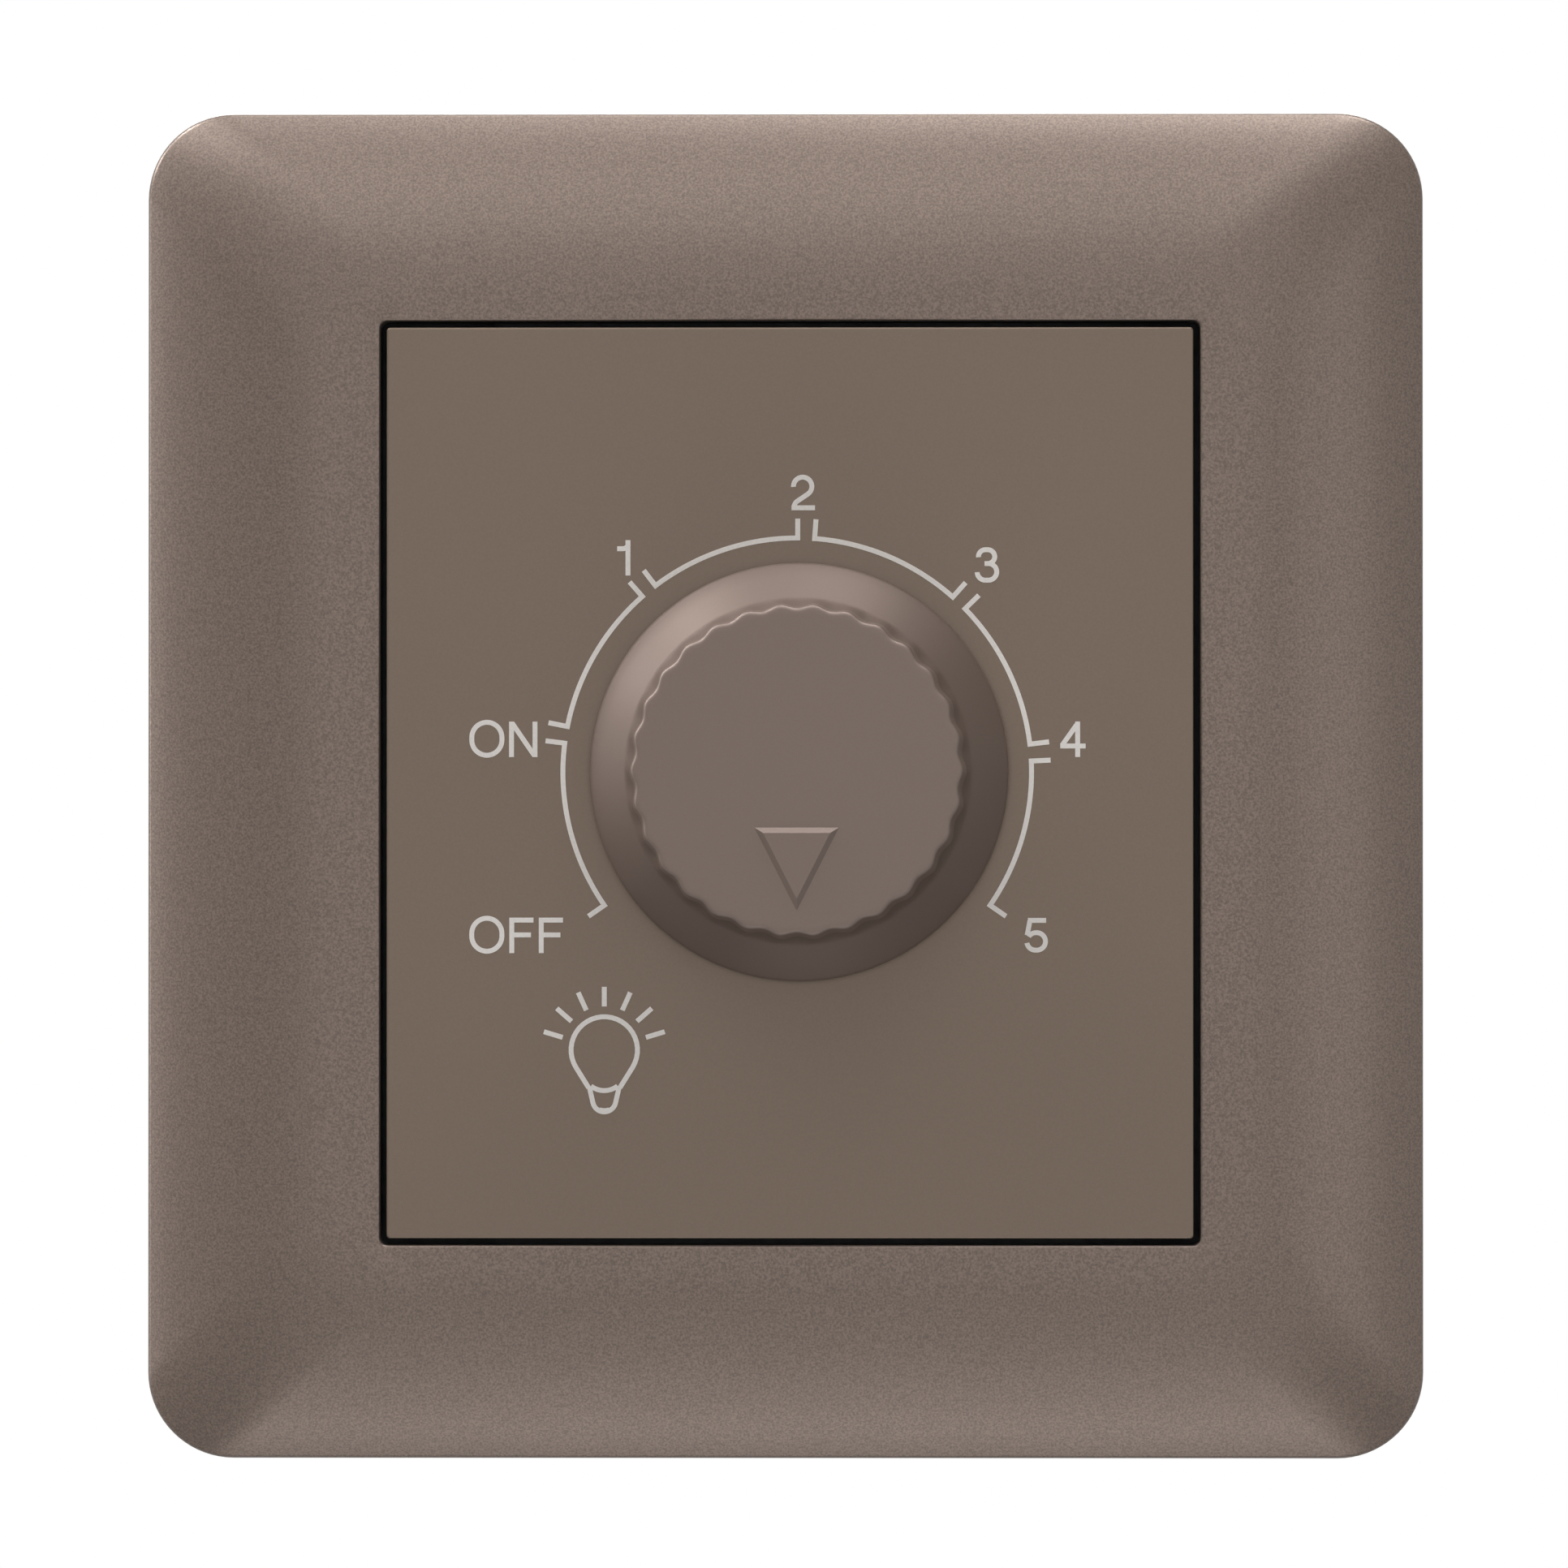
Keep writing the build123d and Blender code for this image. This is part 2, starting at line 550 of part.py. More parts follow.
# Dial plate
HOOK_FACE = INSIDE_HEIGHT / 2 - HOOK_WALL_GAP - HOOK_BARB
HOOK_END = CHASSIS_REAR - HOOK_CLEARANCE - HOOK_BARB_HEIGHT
HOOK_SPACING_Z = 2 * HOOK_FACE - HOOK_THICKNESS

with BuildPart() as dial_plate:
    with BuildSketch(facing(DIAL_BACK, MODULE_X, MODULE_Z)):
        RectangleRounded(DIAL_WIDTH, DIAL_HEIGHT, DIAL_CORNER_RADIUS)
    extrude(amount=DIAL_THICKNESS)
    fillet(dial_plate.faces().sort_by(Axis.Y)[0].edges(), DIAL_EDGE_ROUND)
    with BuildSketch(facing(CHASSIS_FRONT, MODULE_X, MODULE_Z)):
        Rectangle(DIAL_SKIRT_WIDTH, DIAL_SKIRT_HEIGHT)
        offset(amount=-DIAL_SKIRT_WALL, mode=Mode.SUBTRACT)
    extrude(amount=DIAL_BACK - CHASSIS_FRONT)
    with BuildSketch(facing(HOOK_END, MODULE_X, MODULE_Z)):
        with GridLocations(HOOK_SPACING_X, HOOK_SPACING_Z, 2, 2):
            Rectangle(HOOK_WIDTH, HOOK_THICKNESS)
    extrude(amount=DIAL_BACK - HOOK_END)
    with BuildSketch(facing(HOOK_END, MODULE_X, MODULE_Z)):
        with GridLocations(HOOK_SPACING_X, 2 * HOOK_FACE + HOOK_BARB, 2, 2):
            Rectangle(HOOK_WIDTH, HOOK_BARB)
    extrude(amount=HOOK_BARB_HEIGHT)
    with Locations(facing(PLATE_DEPTH, KNOB_X, KNOB_Z)):
        Hole(RING_RADIUS + DIAL_HOLE_CLEARANCE, depth=DIAL_THICKNESS)

# Support frame
LIP_Z = CHASSIS_HEIGHT / 2 + LIP_CLEARANCE + LIP_WIDTH / 2

with BuildPart() as support_frame:
    with BuildSketch(facing(0)):
        RectangleRounded(FRAME_WIDTH, FRAME_HEIGHT, PLATE_CORNER_RADIUS - PLATE_WALL - FRAME_CLEARANCE)
        with Locations((MODULE_X, MODULE_Z)):
            Rectangle(OPENING_WIDTH, OPENING_HEIGHT, mode=Mode.SUBTRACT)
        with GridLocations(SCREW_SPACING, 0, 2, 1):
            Circle(SCREW_HOLE_RADIUS, mode=Mode.SUBTRACT)
    extrude(amount=FRAME_THICKNESS)
    with BuildSketch(facing(FRAME_THICKNESS, MODULE_X, MODULE_Z)):
        with GridLocations(0, 2 * LIP_Z, 1, 2):
            Rectangle(LIP_LENGTH, LIP_WIDTH)
    extrude(amount=LIP_HEIGHT)
    for side in (-1, 1):
        with BuildSketch(facing(FRAME_THICKNESS, side * (CLIP_POST_OUTER - CLIP_WALL / 2), 0)):
            with GridLocations(0, CLIP_SPACING_Z, 1, 2):
                Rectangle(CLIP_WALL, CLIP_LENGTH)
    extrude(amount=CLIP_TOP - FRAME_THICKNESS)
    for side in (-1, 1):
        with BuildSketch(facing(CLIP_TOP, side * (CLIP_POST_OUTER + CLIP_BARB / 2), 0)):
            with GridLocations(0, CLIP_SPACING_Z, 1, 2):
                Rectangle(CLIP_BARB, CLIP_LENGTH)
    extrude(amount=-CLIP_BARB_HEIGHT)

# Chassis plate
HOOK_SLOT_DEPTH = HOOK_THICKNESS + HOOK_BARB
HOOK_SLOT_Z = HOOK_FACE + HOOK_CLEARANCE - HOOK_SLOT_DEPTH / 2

with BuildPart() as chassis:
    with BuildSketch(facing(CHASSIS_REAR, MODULE_X, MODULE_Z)):
        RectangleRounded(CHASSIS_WIDTH, CHASSIS_HEIGHT, CHASSIS_CORNER_RADIUS)
        with GridLocations(HOOK_SPACING_X, 2 * HOOK_SLOT_Z, 2, 2):
            Rectangle(HOOK_WIDTH + 2 * HOOK_CLEARANCE, HOOK_SLOT_DEPTH, mode=Mode.SUBTRACT)
        with GridLocations(POST_SPACING_X, POST_SPACING_Z, 2, 2):
            Circle(CASING_SCREW_RADIUS + HOLE_CLEARANCE, mode=Mode.SUBTRACT)
        with Locations((KNOB_SHIFT_X, KNOB_SHIFT_Z)):
            Circle(BUSHING_RADIUS + HOLE_CLEARANCE, mode=Mode.SUBTRACT)
    extrude(amount=CHASSIS_THICKNESS)

# Rear casing, with snap lugs behind the frame and a bay for the terminals
LEDGE_REAR = CASING_REAR + CASING_REAR_WALL
LUG_FRONT = -CASING_CLEARANCE
LUG_REAR = LUG_FRONT - LUG_LENGTH

with BuildPart() as rear_casing:
    with BuildSketch(facing(CASING_REAR, MODULE_X, MODULE_Z)):
        RectangleRounded(CASING_WIDTH, CASING_HEIGHT, CASING_CORNER_RADIUS)
    extrude(amount=CHASSIS_REAR - CASING_REAR)
    fillet(rear_casing.faces().sort_by(Axis.Y)[-1].edges(), CASING_REAR_ROUND)
    with BuildSketch(facing(LEDGE_REAR, MODULE_X, MODULE_Z)):
        RectangleRounded(INSIDE_WIDTH, INSIDE_HEIGHT, CASING_CORNER_RADIUS - CASING_WALL)
    extrude(amount=CHASSIS_REAR - LEDGE_REAR, mode=Mode.SUBTRACT)
    with BuildSketch(facing(LEDGE_REAR, MODULE_X, MODULE_Z)):
        with GridLocations(POST_SPACING_X, POST_SPACING_Z, 2, 2):
            Circle(POST_RADIUS)
    extrude(amount=CHASSIS_REAR - LEDGE_REAR)
    with BuildSketch(facing(LEDGE_REAR, MODULE_X, MODULE_Z)):
        with GridLocations(INSIDE_WIDTH - LEDGE_REACH, 0, 2, 1):
            Rectangle(LEDGE_REACH, LEDGE_WIDTH)
        with Locations((0, INSIDE_HEIGHT / 2 - LEDGE_REACH / 2)):
            Rectangle(LEDGE_WIDTH, LEDGE_REACH)
    extrude(amount=BOARD_REAR - LEDGE_REAR)
    for side in (-1, 1):
        wall = MODULE_Z + side * CASING_HEIGHT / 2
        tip = wall + side * LUG_REACH
        for x in (MODULE_X - LUG_SPACING / 2, MODULE_X + LUG_SPACING / 2):
            with BuildSketch(side_section(x)):
                with BuildLine():
                    Polyline((LUG_FRONT, wall), (LUG_FRONT, tip), (LUG_REAR, wall), close=True)
                make_face()
    extrude(amount=LUG_WIDTH / 2, both=True)
    with BuildSketch(facing(CHASSIS_REAR, MODULE_X, MODULE_Z)):
        with GridLocations(POST_SPACING_X, POST_SPACING_Z, 2, 2):
            Circle(CASING_SCREW_RADIUS + SCREW_CLEARANCE)
    extrude(amount=-CASING_SCREW_LENGTH, mode=Mode.SUBTRACT)
    with BuildSketch(facing(CASING_REAR, MODULE_X, BLOCK_Z)):
        Rectangle(BLOCK_WIDTH + 2 * TERMINAL_BAY_CLEARANCE, TERMINAL_HEIGHT + 2 * TERMINAL_BAY_CLEARANCE)
    extrude(amount=BOARD_REAR - CASING_REAR, mode=Mode.SUBTRACT)
    with BuildSketch(facing(CASING_REAR, MODULE_X, MODULE_Z + INSIDE_HEIGHT / 4)):
        with GridLocations(VENT_PITCH, 0, VENT_COUNT, 1):
            SlotOverall(VENT_LENGTH, VENT_WIDTH, rotation=90)
    extrude(amount=CASING_REAR_WALL, mode=Mode.SUBTRACT)

# Screws from the front through the chassis into the casing's posts
with BuildPart() as casing_screws:
    with BuildSketch(facing(CHASSIS_FRONT, MODULE_X, MODULE_Z)):
        with GridLocations(POST_SPACING_X, POST_SPACING_Z, 2, 2):
            Circle(CASING_SCREW_HEAD_RADIUS)
    extrude(amount=CASING_SCREW_HEAD_HEIGHT)
    with BuildSketch(facing(CHASSIS_FRONT, MODULE_X, MODULE_Z)):
        with GridLocations(POST_SPACING_X, POST_SPACING_Z, 2, 2):
            Circle(CASING_SCREW_RADIUS)
    extrude(amount=-CASING_SCREW_LENGTH)
    with BuildSketch(facing(CHASSIS_FRONT + CASING_SCREW_HEAD_HEIGHT, MODULE_X, MODULE_Z)):
        with GridLocations(POST_SPACING_X, POST_SPACING_Z, 2, 2):
            Rectangle(CROSS_LENGTH, CROSS_WIDTH)
            Rectangle(CROSS_WIDTH, CROSS_LENGTH)
    extrude(amount=-CROSS_DEPTH, mode=Mode.SUBTRACT)

# Knob: a steep skirt that the fluted grip rises from, hollow below, with a socket for the shaft
GRIP_CORE = GRIP_RADIUS - FLUTE_DEPTH
SKIRT_SLOPE = math.tan(math.radians(SKIRT_ANGLE))
SKIRT_FRONT = KNOB_BASE + SKIRT_EDGE + (KNOB_RADIUS - GRIP_CORE) * SKIRT_SLOPE
CAVITY_RADIUS = KNOB_RADIUS - KNOB_WALL
CAVITY_TOP_RADIUS = GRIP_CORE - KNOB_WALL
CAVITY_NECK = KNOB_BASE + SKIRT_EDGE / 2 + (CAVITY_RADIUS - CAVITY_TOP_RADIUS) * SKIRT_SLOPE
GRIP_REAR = KNOB_BASE + SKIRT_EDGE
GRIP_SPREAD = math.tan(math.radians(GRIP_DRAFT)) * (KNOB_FRONT - GRIP_EDGE - GRIP_REAR)
SOCKET_FLAT = SHAFT_FLAT + 2 * RUNNING_CLEARANCE + GRIP_SPRING_THICKNESS
SOCKET_RADIUS = SHAFT_RADIUS + RUNNING_CLEARANCE

with BuildPart() as knob:
    with BuildSketch(half_section(KNOB_X, KNOB_Z)):
        with BuildLine():
            Polyline(
                (0, KNOB_BASE),
                (KNOB_RADIUS, KNOB_BASE),
                (KNOB_RADIUS, KNOB_BASE + SKIRT_EDGE),
                (GRIP_CORE, SKIRT_FRONT),
                (0, SKIRT_FRONT),
                close=True,
            )
        make_face()
    revolve(axis=KNOB_AXIS)
    loft(
        [
            grip_outline(GRIP_REAR, GRIP_RADIUS + GRIP_SPREAD),
            grip_outline(KNOB_FRONT - GRIP_EDGE, GRIP_RADIUS),
        ],
        ruled=True,
    )
    loft(
        [
            grip_outline(KNOB_FRONT - GRIP_EDGE, GRIP_RADIUS),
            grip_outline(KNOB_FRONT, GRIP_RADIUS - GRIP_EDGE),
        ],
        ruled=True,
    )
    with BuildSketch(half_section(KNOB_X, KNOB_Z)):
        with BuildLine():
            Polyline(
                (BOSS_RADIUS, KNOB_BASE),
                (CAVITY_RADIUS, KNOB_BASE),
                (CAVITY_RADIUS, KNOB_BASE + SKIRT_EDGE / 2),
                (CAVITY_TOP_RADIUS, CAVITY_NECK),
                (CAVITY_TOP_RADIUS, KNOB_CEILING),
                (BOSS_RADIUS, KNOB_CEILING),
                close=True,
            )
        make_face()
    revolve(axis=KNOB_AXIS, mode=Mode.SUBTRACT)
    with BuildSketch(facing(KNOB_BASE, KNOB_X, KNOB_Z)):
        Circle(BOSS_RADIUS)
    extrude(amount=BOSS_RECESS, mode=Mode.SUBTRACT)
    with BuildSketch(facing(KNOB_BASE + RIB_RECESS, KNOB_X, KNOB_Z)):
        with PolarLocations((BOSS_RADIUS + CAVITY_TOP_RADIUS) / 2, RIB_COUNT):
            Rectangle(CAVITY_TOP_RADIUS - BOSS_RADIUS + KNOB_WALL, RIB_WALL)
    extrude(amount=KNOB_CEILING - KNOB_BASE - RIB_RECESS)
    with BuildSketch(facing(BOSS_REAR, KNOB_X, KNOB_Z)):
        Circle(SOCKET_RADIUS)
        with Locations((0, SOCKET_FLAT)):
            Rectangle(2 * SOCKET_RADIUS, SOCKET_RADIUS, align=(Align.CENTER, Align.MIN), mode=Mode.SUBTRACT)
    extrude(amount=KNOB_CEILING - BOSS_REAR, mode=Mode.SUBTRACT)
    with BuildSketch(facing(KNOB_FRONT, KNOB_X, KNOB_Z - POINTER_START)):
        Polygon((-POINTER_WIDTH / 2, 0), (POINTER_WIDTH / 2, 0), (0, -POINTER_LENGTH), align=None)
    extrude(amount=POINTER_HEIGHT, taper=POINTER_TAPER)

# Leaf between the flat of the shaft and the flat of the knob's socket, with a lip over the boss
SPRING_Z = KNOB_Z + SHAFT_FLAT + RUNNING_CLEARANCE
SPRING_LIP_FRONT = BOSS_REAR - RUNNING_CLEARANCE

with BuildPart() as knob_spring:
    with BuildSketch(side_section(KNOB_X)):
        with BuildLine():
            Polyline(
                (SPRING_LIP_FRONT - GRIP_SPRING_THICKNESS, SPRING_Z),
                (SHAFT_FRONT, SPRING_Z),
                (SHAFT_FRONT, SPRING_Z + GRIP_SPRING_THICKNESS),
                (SPRING_LIP_FRONT, SPRING_Z + GRIP_SPRING_THICKNESS),
                (SPRING_LIP_FRONT, SPRING_Z + GRIP_SPRING_LIP),
                (SPRING_LIP_FRONT - GRIP_SPRING_THICKNESS, SPRING_Z + GRIP_SPRING_LIP),
                close=True,
            )
        make_face()
    extrude(amount=GRIP_SPRING_WIDTH / 2, both=True)

# Shaft
with BuildPart() as shaft:
    with BuildSketch(half_section(KNOB_X, KNOB_Z)):
        with BuildLine():
            Polyline(
                (0, CAM_REAR),
                (SHAFT_TAIL_RADIUS, CAM_REAR),
                (SHAFT_TAIL_RADIUS, ROTOR_FRONT),
                (SHAFT_RADIUS, ROTOR_FRONT),
                (SHAFT_RADIUS, RING_REAR - RING_CLEARANCE),
                (RING_GROOVE_RADIUS, RING_REAR - RING_CLEARANCE),
                (RING_GROOVE_RADIUS, RING_FRONT + RING_CLEARANCE),
                (SHAFT_RADIUS, RING_FRONT + RING_CLEARANCE),
                (SHAFT_RADIUS, SHAFT_FRONT - SHAFT_END_CHAMFER),
                (SHAFT_RADIUS - SHAFT_END_CHAMFER, SHAFT_FRONT),
                (0, SHAFT_FRONT),
                close=True,
            )
        make_face()
    revolve(axis=KNOB_AXIS)
    with BuildSketch(facing(SPRING_LIP_FRONT - 2 * GRIP_SPRING_THICKNESS, KNOB_X, KNOB_Z + SHAFT_FLAT)):
        Rectangle(2 * SHAFT_RADIUS, SHAFT_RADIUS, align=(Align.CENTER, Align.MIN))
    extrude(amount=SHAFT_FRONT, mode=Mode.SUBTRACT)

# Retaining ring in the shaft's groove
with BuildPart() as retaining_ring:
    extrude(
        ring_sector(
            facing(RING_REAR, KNOB_X, KNOB_Z),
            RING_GROOVE_RADIUS + RING_CLEARANCE,
            RING_RADIUS,
            90,
            RING_SPAN_ANGLE,
        ),
        amount=RING_THICKNESS,
    )

# Bushing, its nut and its toothed washer
with BuildPart() as bushing:
    with BuildSketch(half_section(KNOB_X, KNOB_Z)):
        with BuildLine():
            Polyline(
                (SHAFT_RADIUS + RUNNING_CLEARANCE, FLANGE_REAR),
                (POT_RADIUS, FLANGE_REAR),
                (POT_RADIUS, CHASSIS_REAR),
                (BUSHING_RADIUS, CHASSIS_REAR),
                (BUSHING_RADIUS, BUSHING_FRONT),
                (SHAFT_RADIUS + RUNNING_CLEARANCE, BUSHING_FRONT),
                close=True,
            )
        make_face()
    revolve(axis=KNOB_AXIS)

with BuildPart() as bushing_nut:
    with BuildSketch(facing(WASHER_FRONT, KNOB_X, KNOB_Z)):
        RegularPolygon(NUT_FLATS / 2, 6, major_radius=False)
        Circle(BUSHING_RADIUS + SCREW_CLEARANCE, mode=Mode.SUBTRACT)
    extrude(amount=NUT_THICKNESS)

with BuildPart() as lock_washer:
    with BuildSketch(facing(CHASSIS_FRONT, KNOB_X, KNOB_Z)):
        Circle(WASHER_RADIUS)
        with PolarLocations(WASHER_RADIUS, WASHER_TEETH):
            Rectangle(2 * WASHER_TOOTH_GAP, WASHER_TOOTH_GAP, mode=Mode.SUBTRACT)
        Circle(BUSHING_RADIUS + HOLE_CLEARANCE, mode=Mode.SUBTRACT)
    extrude(amount=WASHER_THICKNESS)

# Potentiometer can, with a stop for the rotor's lug and a slot for the pins
CAN_INNER = POT_RADIUS - CAN_WALL
WAFER_RADIUS = CAN_INNER - WAFER_CLEARANCE
STOP_INNER = ROTOR_RADIUS + STOP_CLEARANCE
STOP_SPAN_ANGLE = 360 - KNOB_TRAVEL_ANGLE - STOP_LUG_SPAN_ANGLE - 2 * STOP_PLAY_ANGLE
LUG_PLACE_ANGLE = STOP_PLACE_ANGLE + 180 + KNOB_TRAVEL_ANGLE / 2
PIN_FRONT = WAFER_FRONT + PIN_THICKNESS
PIN_SLOT_WIDTH = 2 * PIN_PITCH + PIN_WIDTH + 2 * LEAD_CLEARANCE

with BuildPart() as pot_can:
    with BuildSketch(half_section(KNOB_X, KNOB_Z)):
        with BuildLine():
            Polyline(
                (SHAFT_TAIL_RADIUS + HOLE_CLEARANCE, POT_REAR),
                (POT_RADIUS, POT_REAR),
                (POT_RADIUS, FLANGE_REAR),
                (CAN_INNER, FLANGE_REAR),
                (CAN_INNER, WAFER_REAR),
                (SHAFT_TAIL_RADIUS + HOLE_CLEARANCE, WAFER_REAR),
                close=True,
            )
        make_face()
    revolve(axis=KNOB_AXIS)
    extrude(
        ring_sector(
            facing(ROTOR_REAR, KNOB_X, KNOB_Z),
            STOP_INNER,
            CAN_INNER + CAN_WALL / 2,
            STOP_PLACE_ANGLE,
            STOP_SPAN_ANGLE,
        ),
        amount=ROTOR_THICKNESS,
    )
    with BuildSketch(facing(WAFER_FRONT, KNOB_X, KNOB_Z)):
        Rectangle(PIN_SLOT_WIDTH, POT_RADIUS, align=(Align.CENTER, Align.MAX))
    extrude(amount=PIN_THICKNESS + LEAD_CLEARANCE, mode=Mode.SUBTRACT)

with BuildPart() as pot_wafer:
    with BuildSketch(facing(WAFER_REAR, KNOB_X, KNOB_Z)):
        Circle(WAFER_RADIUS)
        Circle(SHAFT_TAIL_RADIUS + HOLE_CLEARANCE, mode=Mode.SUBTRACT)
    extrude(amount=WAFER_THICKNESS)

with BuildPart() as pot_rotor:
    with BuildSketch(facing(ROTOR_REAR, KNOB_X, KNOB_Z)):
        Circle(ROTOR_RADIUS)
    extrude(amount=ROTOR_THICKNESS)
    extrude(
        ring_sector(
            facing(ROTOR_REAR, KNOB_X, KNOB_Z),
            ROTOR_RADIUS / 2,
            CAN_INNER - STOP_CLEARANCE,
            LUG_PLACE_ANGLE,
            STOP_LUG_SPAN_ANGLE,
        ),
        amount=ROTOR_THICKNESS,
    )
    with BuildSketch(facing(ROTOR_REAR, KNOB_X, KNOB_Z)):
        Circle(SHAFT_TAIL_RADIUS + SCREW_CLEARANCE)
    extrude(amount=ROTOR_THICKNESS, mode=Mode.SUBTRACT)

# Spring contact on the rotor, with two fingers that reach the track
WIPER_REAR = WAFER_FRONT + WIPER_CLEARANCE

with BuildPart() as pot_wiper:
    with BuildSketch(facing(ROTOR_REAR, KNOB_X, KNOB_Z)):
        Circle(WIPER_RADIUS)
        Circle(SHAFT_TAIL_RADIUS + HOLE_CLEARANCE, mode=Mode.SUBTRACT)
    extrude(amount=-WIPER_THICKNESS)
    for finger in (0, 180):
        extrude(
            ring_sector(
                facing(WIPER_REAR, KNOB_X, KNOB_Z),
                WIPER_RADIUS - WIPER_FINGER_WIDTH,
                WIPER_RADIUS,
                LUG_PLACE_ANGLE + finger,
                FINGER_SPAN_ANGLE,
            ),
            amount=ROTOR_REAR - WIPER_REAR,
        )

# Three pins from the wafer through the can's slot and down into the board
PIN_START_Z = KNOB_Z - WAFER_RADIUS + PIN_INSET

with BuildPart() as pot_pins:
    for step in (-1, 0, 1):
        with BuildSketch(side_section(KNOB_X + step * PIN_PITCH)):
            with BuildLine():
                Polyline(
                    (WAFER_FRONT, PIN_START_Z),
                    (PIN_FRONT, PIN_START_Z),
                    (PIN_FRONT, PIN_Z - PIN_THICKNESS / 2),
                    (LEAD_END, PIN_Z - PIN_THICKNESS / 2),
                    (LEAD_END, PIN_Z + PIN_THICKNESS / 2),
                    (WAFER_FRONT, PIN_Z + PIN_THICKNESS / 2),
                    close=True,
                )
            make_face()
    extrude(amount=PIN_WIDTH / 2, both=True)

# Switch case, open at the rear where the board closes it
with BuildPart() as switch_case:
    with BuildSketch(facing(BOARD_FRONT, KNOB_X, KNOB_Z)):
        Rectangle(SWITCH_SIZE, SWITCH_SIZE)
    extrude(amount=POT_REAR - BOARD_FRONT)
    with BuildSketch(facing(BOARD_FRONT, KNOB_X, KNOB_Z)):
        Rectangle(SWITCH_INSIDE, SWITCH_INSIDE)
    extrude(amount=POT_REAR - BOARD_FRONT - SWITCH_WALL, mode=Mode.SUBTRACT)
    with BuildSketch(facing(POT_REAR, KNOB_X, KNOB_Z)):
        Circle(SHAFT_TAIL_RADIUS + HOLE_CLEARANCE)
    extrude(amount=-SWITCH_WALL, mode=Mode.SUBTRACT)

# Cam on the shaft's tail, with its lobe under the leaf at the OFF end of the travel
with BuildPart() as switch_cam:
    with BuildSketch(facing(CAM_REAR, KNOB_X, KNOB_Z)):
        Circle(CAM_RADIUS)
        with Locations((CAM_REACH - CAM_LOBE_RADIUS, 0)):
            Circle(CAM_LOBE_RADIUS)
        make_hull()
        Circle(SHAFT_TAIL_RADIUS + SCREW_CLEARANCE, mode=Mode.SUBTRACT)
    extrude(amount=CAM_LENGTH)

with BuildPart() as switch_leaf:
    with BuildSketch(facing(BOARD_FRONT, LEAF_X + LEAF_THICKNESS / 2, KNOB_Z)):
        Rectangle(LEAF_THICKNESS, LEAF_LENGTH)
    extrude(amount=CAM_FRONT - BOARD_FRONT)
    with BuildSketch(facing(BOARD_FRONT, LEAF_X + LEAF_THICKNESS / 2, LEAF_TAIL_Z)):
        Rectangle(LEAF_THICKNESS, TAIL_WIDTH)
    extrude(amount=LEAD_END - BOARD_FRONT)

with BuildPart() as switch_contact:
    with BuildSketch(facing(BOARD_FRONT, CONTACT_X + LEAF_THICKNESS / 2, CONTACT_Z)):
        Rectangle(LEAF_THICKNESS, CONTACT_WIDTH)
    extrude(amount=CAM_FRONT - BOARD_FRONT)
    with BuildSketch(facing(BOARD_FRONT, CONTACT_X + LEAF_THICKNESS / 2, CONTACT_Z)):
        Rectangle(LEAF_THICKNESS, TAIL_WIDTH)
    extrude(amount=LEAD_END - BOARD_FRONT)
    rivet_depth = (CAM_FRONT + CAM_REAR) / 2
    with BuildSketch(Plane(origin=(RIVET_X, -rivet_depth, CONTACT_Z), x_dir=(0, 1, 0), z_dir=(1, 0, 0))):
        Circle(RIVET_RADIUS)
    extrude(amount=RIVET_HEIGHT)

# Board, drilled for every lead
CHOKE_LEAD_REACH = CHOKE_OUTER_RADIUS + WIRE_GAP + WIRE_THICKNESS / 2
pair = (-1, 1)
round_leads = [(LEFT_X, CHOKE_Z + side * CHOKE_LEAD_REACH) for side in pair]
round_leads += [(RIGHT_X, FILTER_Z + side * FILTER_LEAD_PITCH / 2) for side in pair]
round_leads += [(LEFT_X, TIMING_Z + side * TIMING_LEAD_PITCH / 2) for side in pair]
round_leads += [(RIGHT_X + side * DIAC_SPAN / 2, DIAC_Z) for side in pair]
for row in range(RESISTOR_COUNT):
    round_leads += [(LEFT_X + side * RESISTOR_SPAN / 2, RESISTOR_Z + row * RESISTOR_PITCH) for side in pair]
pin_leads = [(KNOB_X + step * PIN_PITCH, PIN_Z) for step in (-1, 0, 1)]
pin_leads += [(MODULE_X + side * FUSE_CLIP_SPACING / 2, FUSE_Z) for side in pair]
switch_leads = [(LEAF_X + LEAF_THICKNESS / 2, LEAF_TAIL_Z), (CONTACT_X + LEAF_THICKNESS / 2, CONTACT_Z)]
triac_leads = [(MODULE_X + step * TRIAC_LEAD_PITCH, TRIAC_LEAD_Z) for step in (-1, 0, 1)]
clamp_leads = [(x, CLAMP_Z) for x in TERMINAL_X]
drillings = [
    (LEAD_RADIUS, round_leads),
    (math.hypot(PIN_WIDTH, PIN_THICKNESS) / 2, pin_leads),
    (math.hypot(TAIL_WIDTH, LEAF_THICKNESS) / 2, switch_leads),
    (math.hypot(TRIAC_LEAD_WIDTH, TRIAC_LEAD_THICKNESS) / 2, triac_leads),
    (math.hypot(CLAMP_PIN, CLAMP_PIN) / 2, clamp_leads),
]

with BuildPart() as circuit_board:
    with BuildSketch(facing(BOARD_REAR)):
        with Locations((MODULE_X, MODULE_Z)):
            Rectangle(BOARD_WIDTH, BOARD_HEIGHT)
            with GridLocations(BOARD_WIDTH, BOARD_HEIGHT, 2, 2):
                Rectangle(2 * (POST_RADIUS + POST_INSET), 2 * (POST_RADIUS + POST_INSET), mode=Mode.SUBTRACT)
        for reach, places in drillings:
            with Locations(*places):
                Circle(reach + LEAD_CLEARANCE, mode=Mode.SUBTRACT)
    extrude(amount=BOARD_THICKNESS)

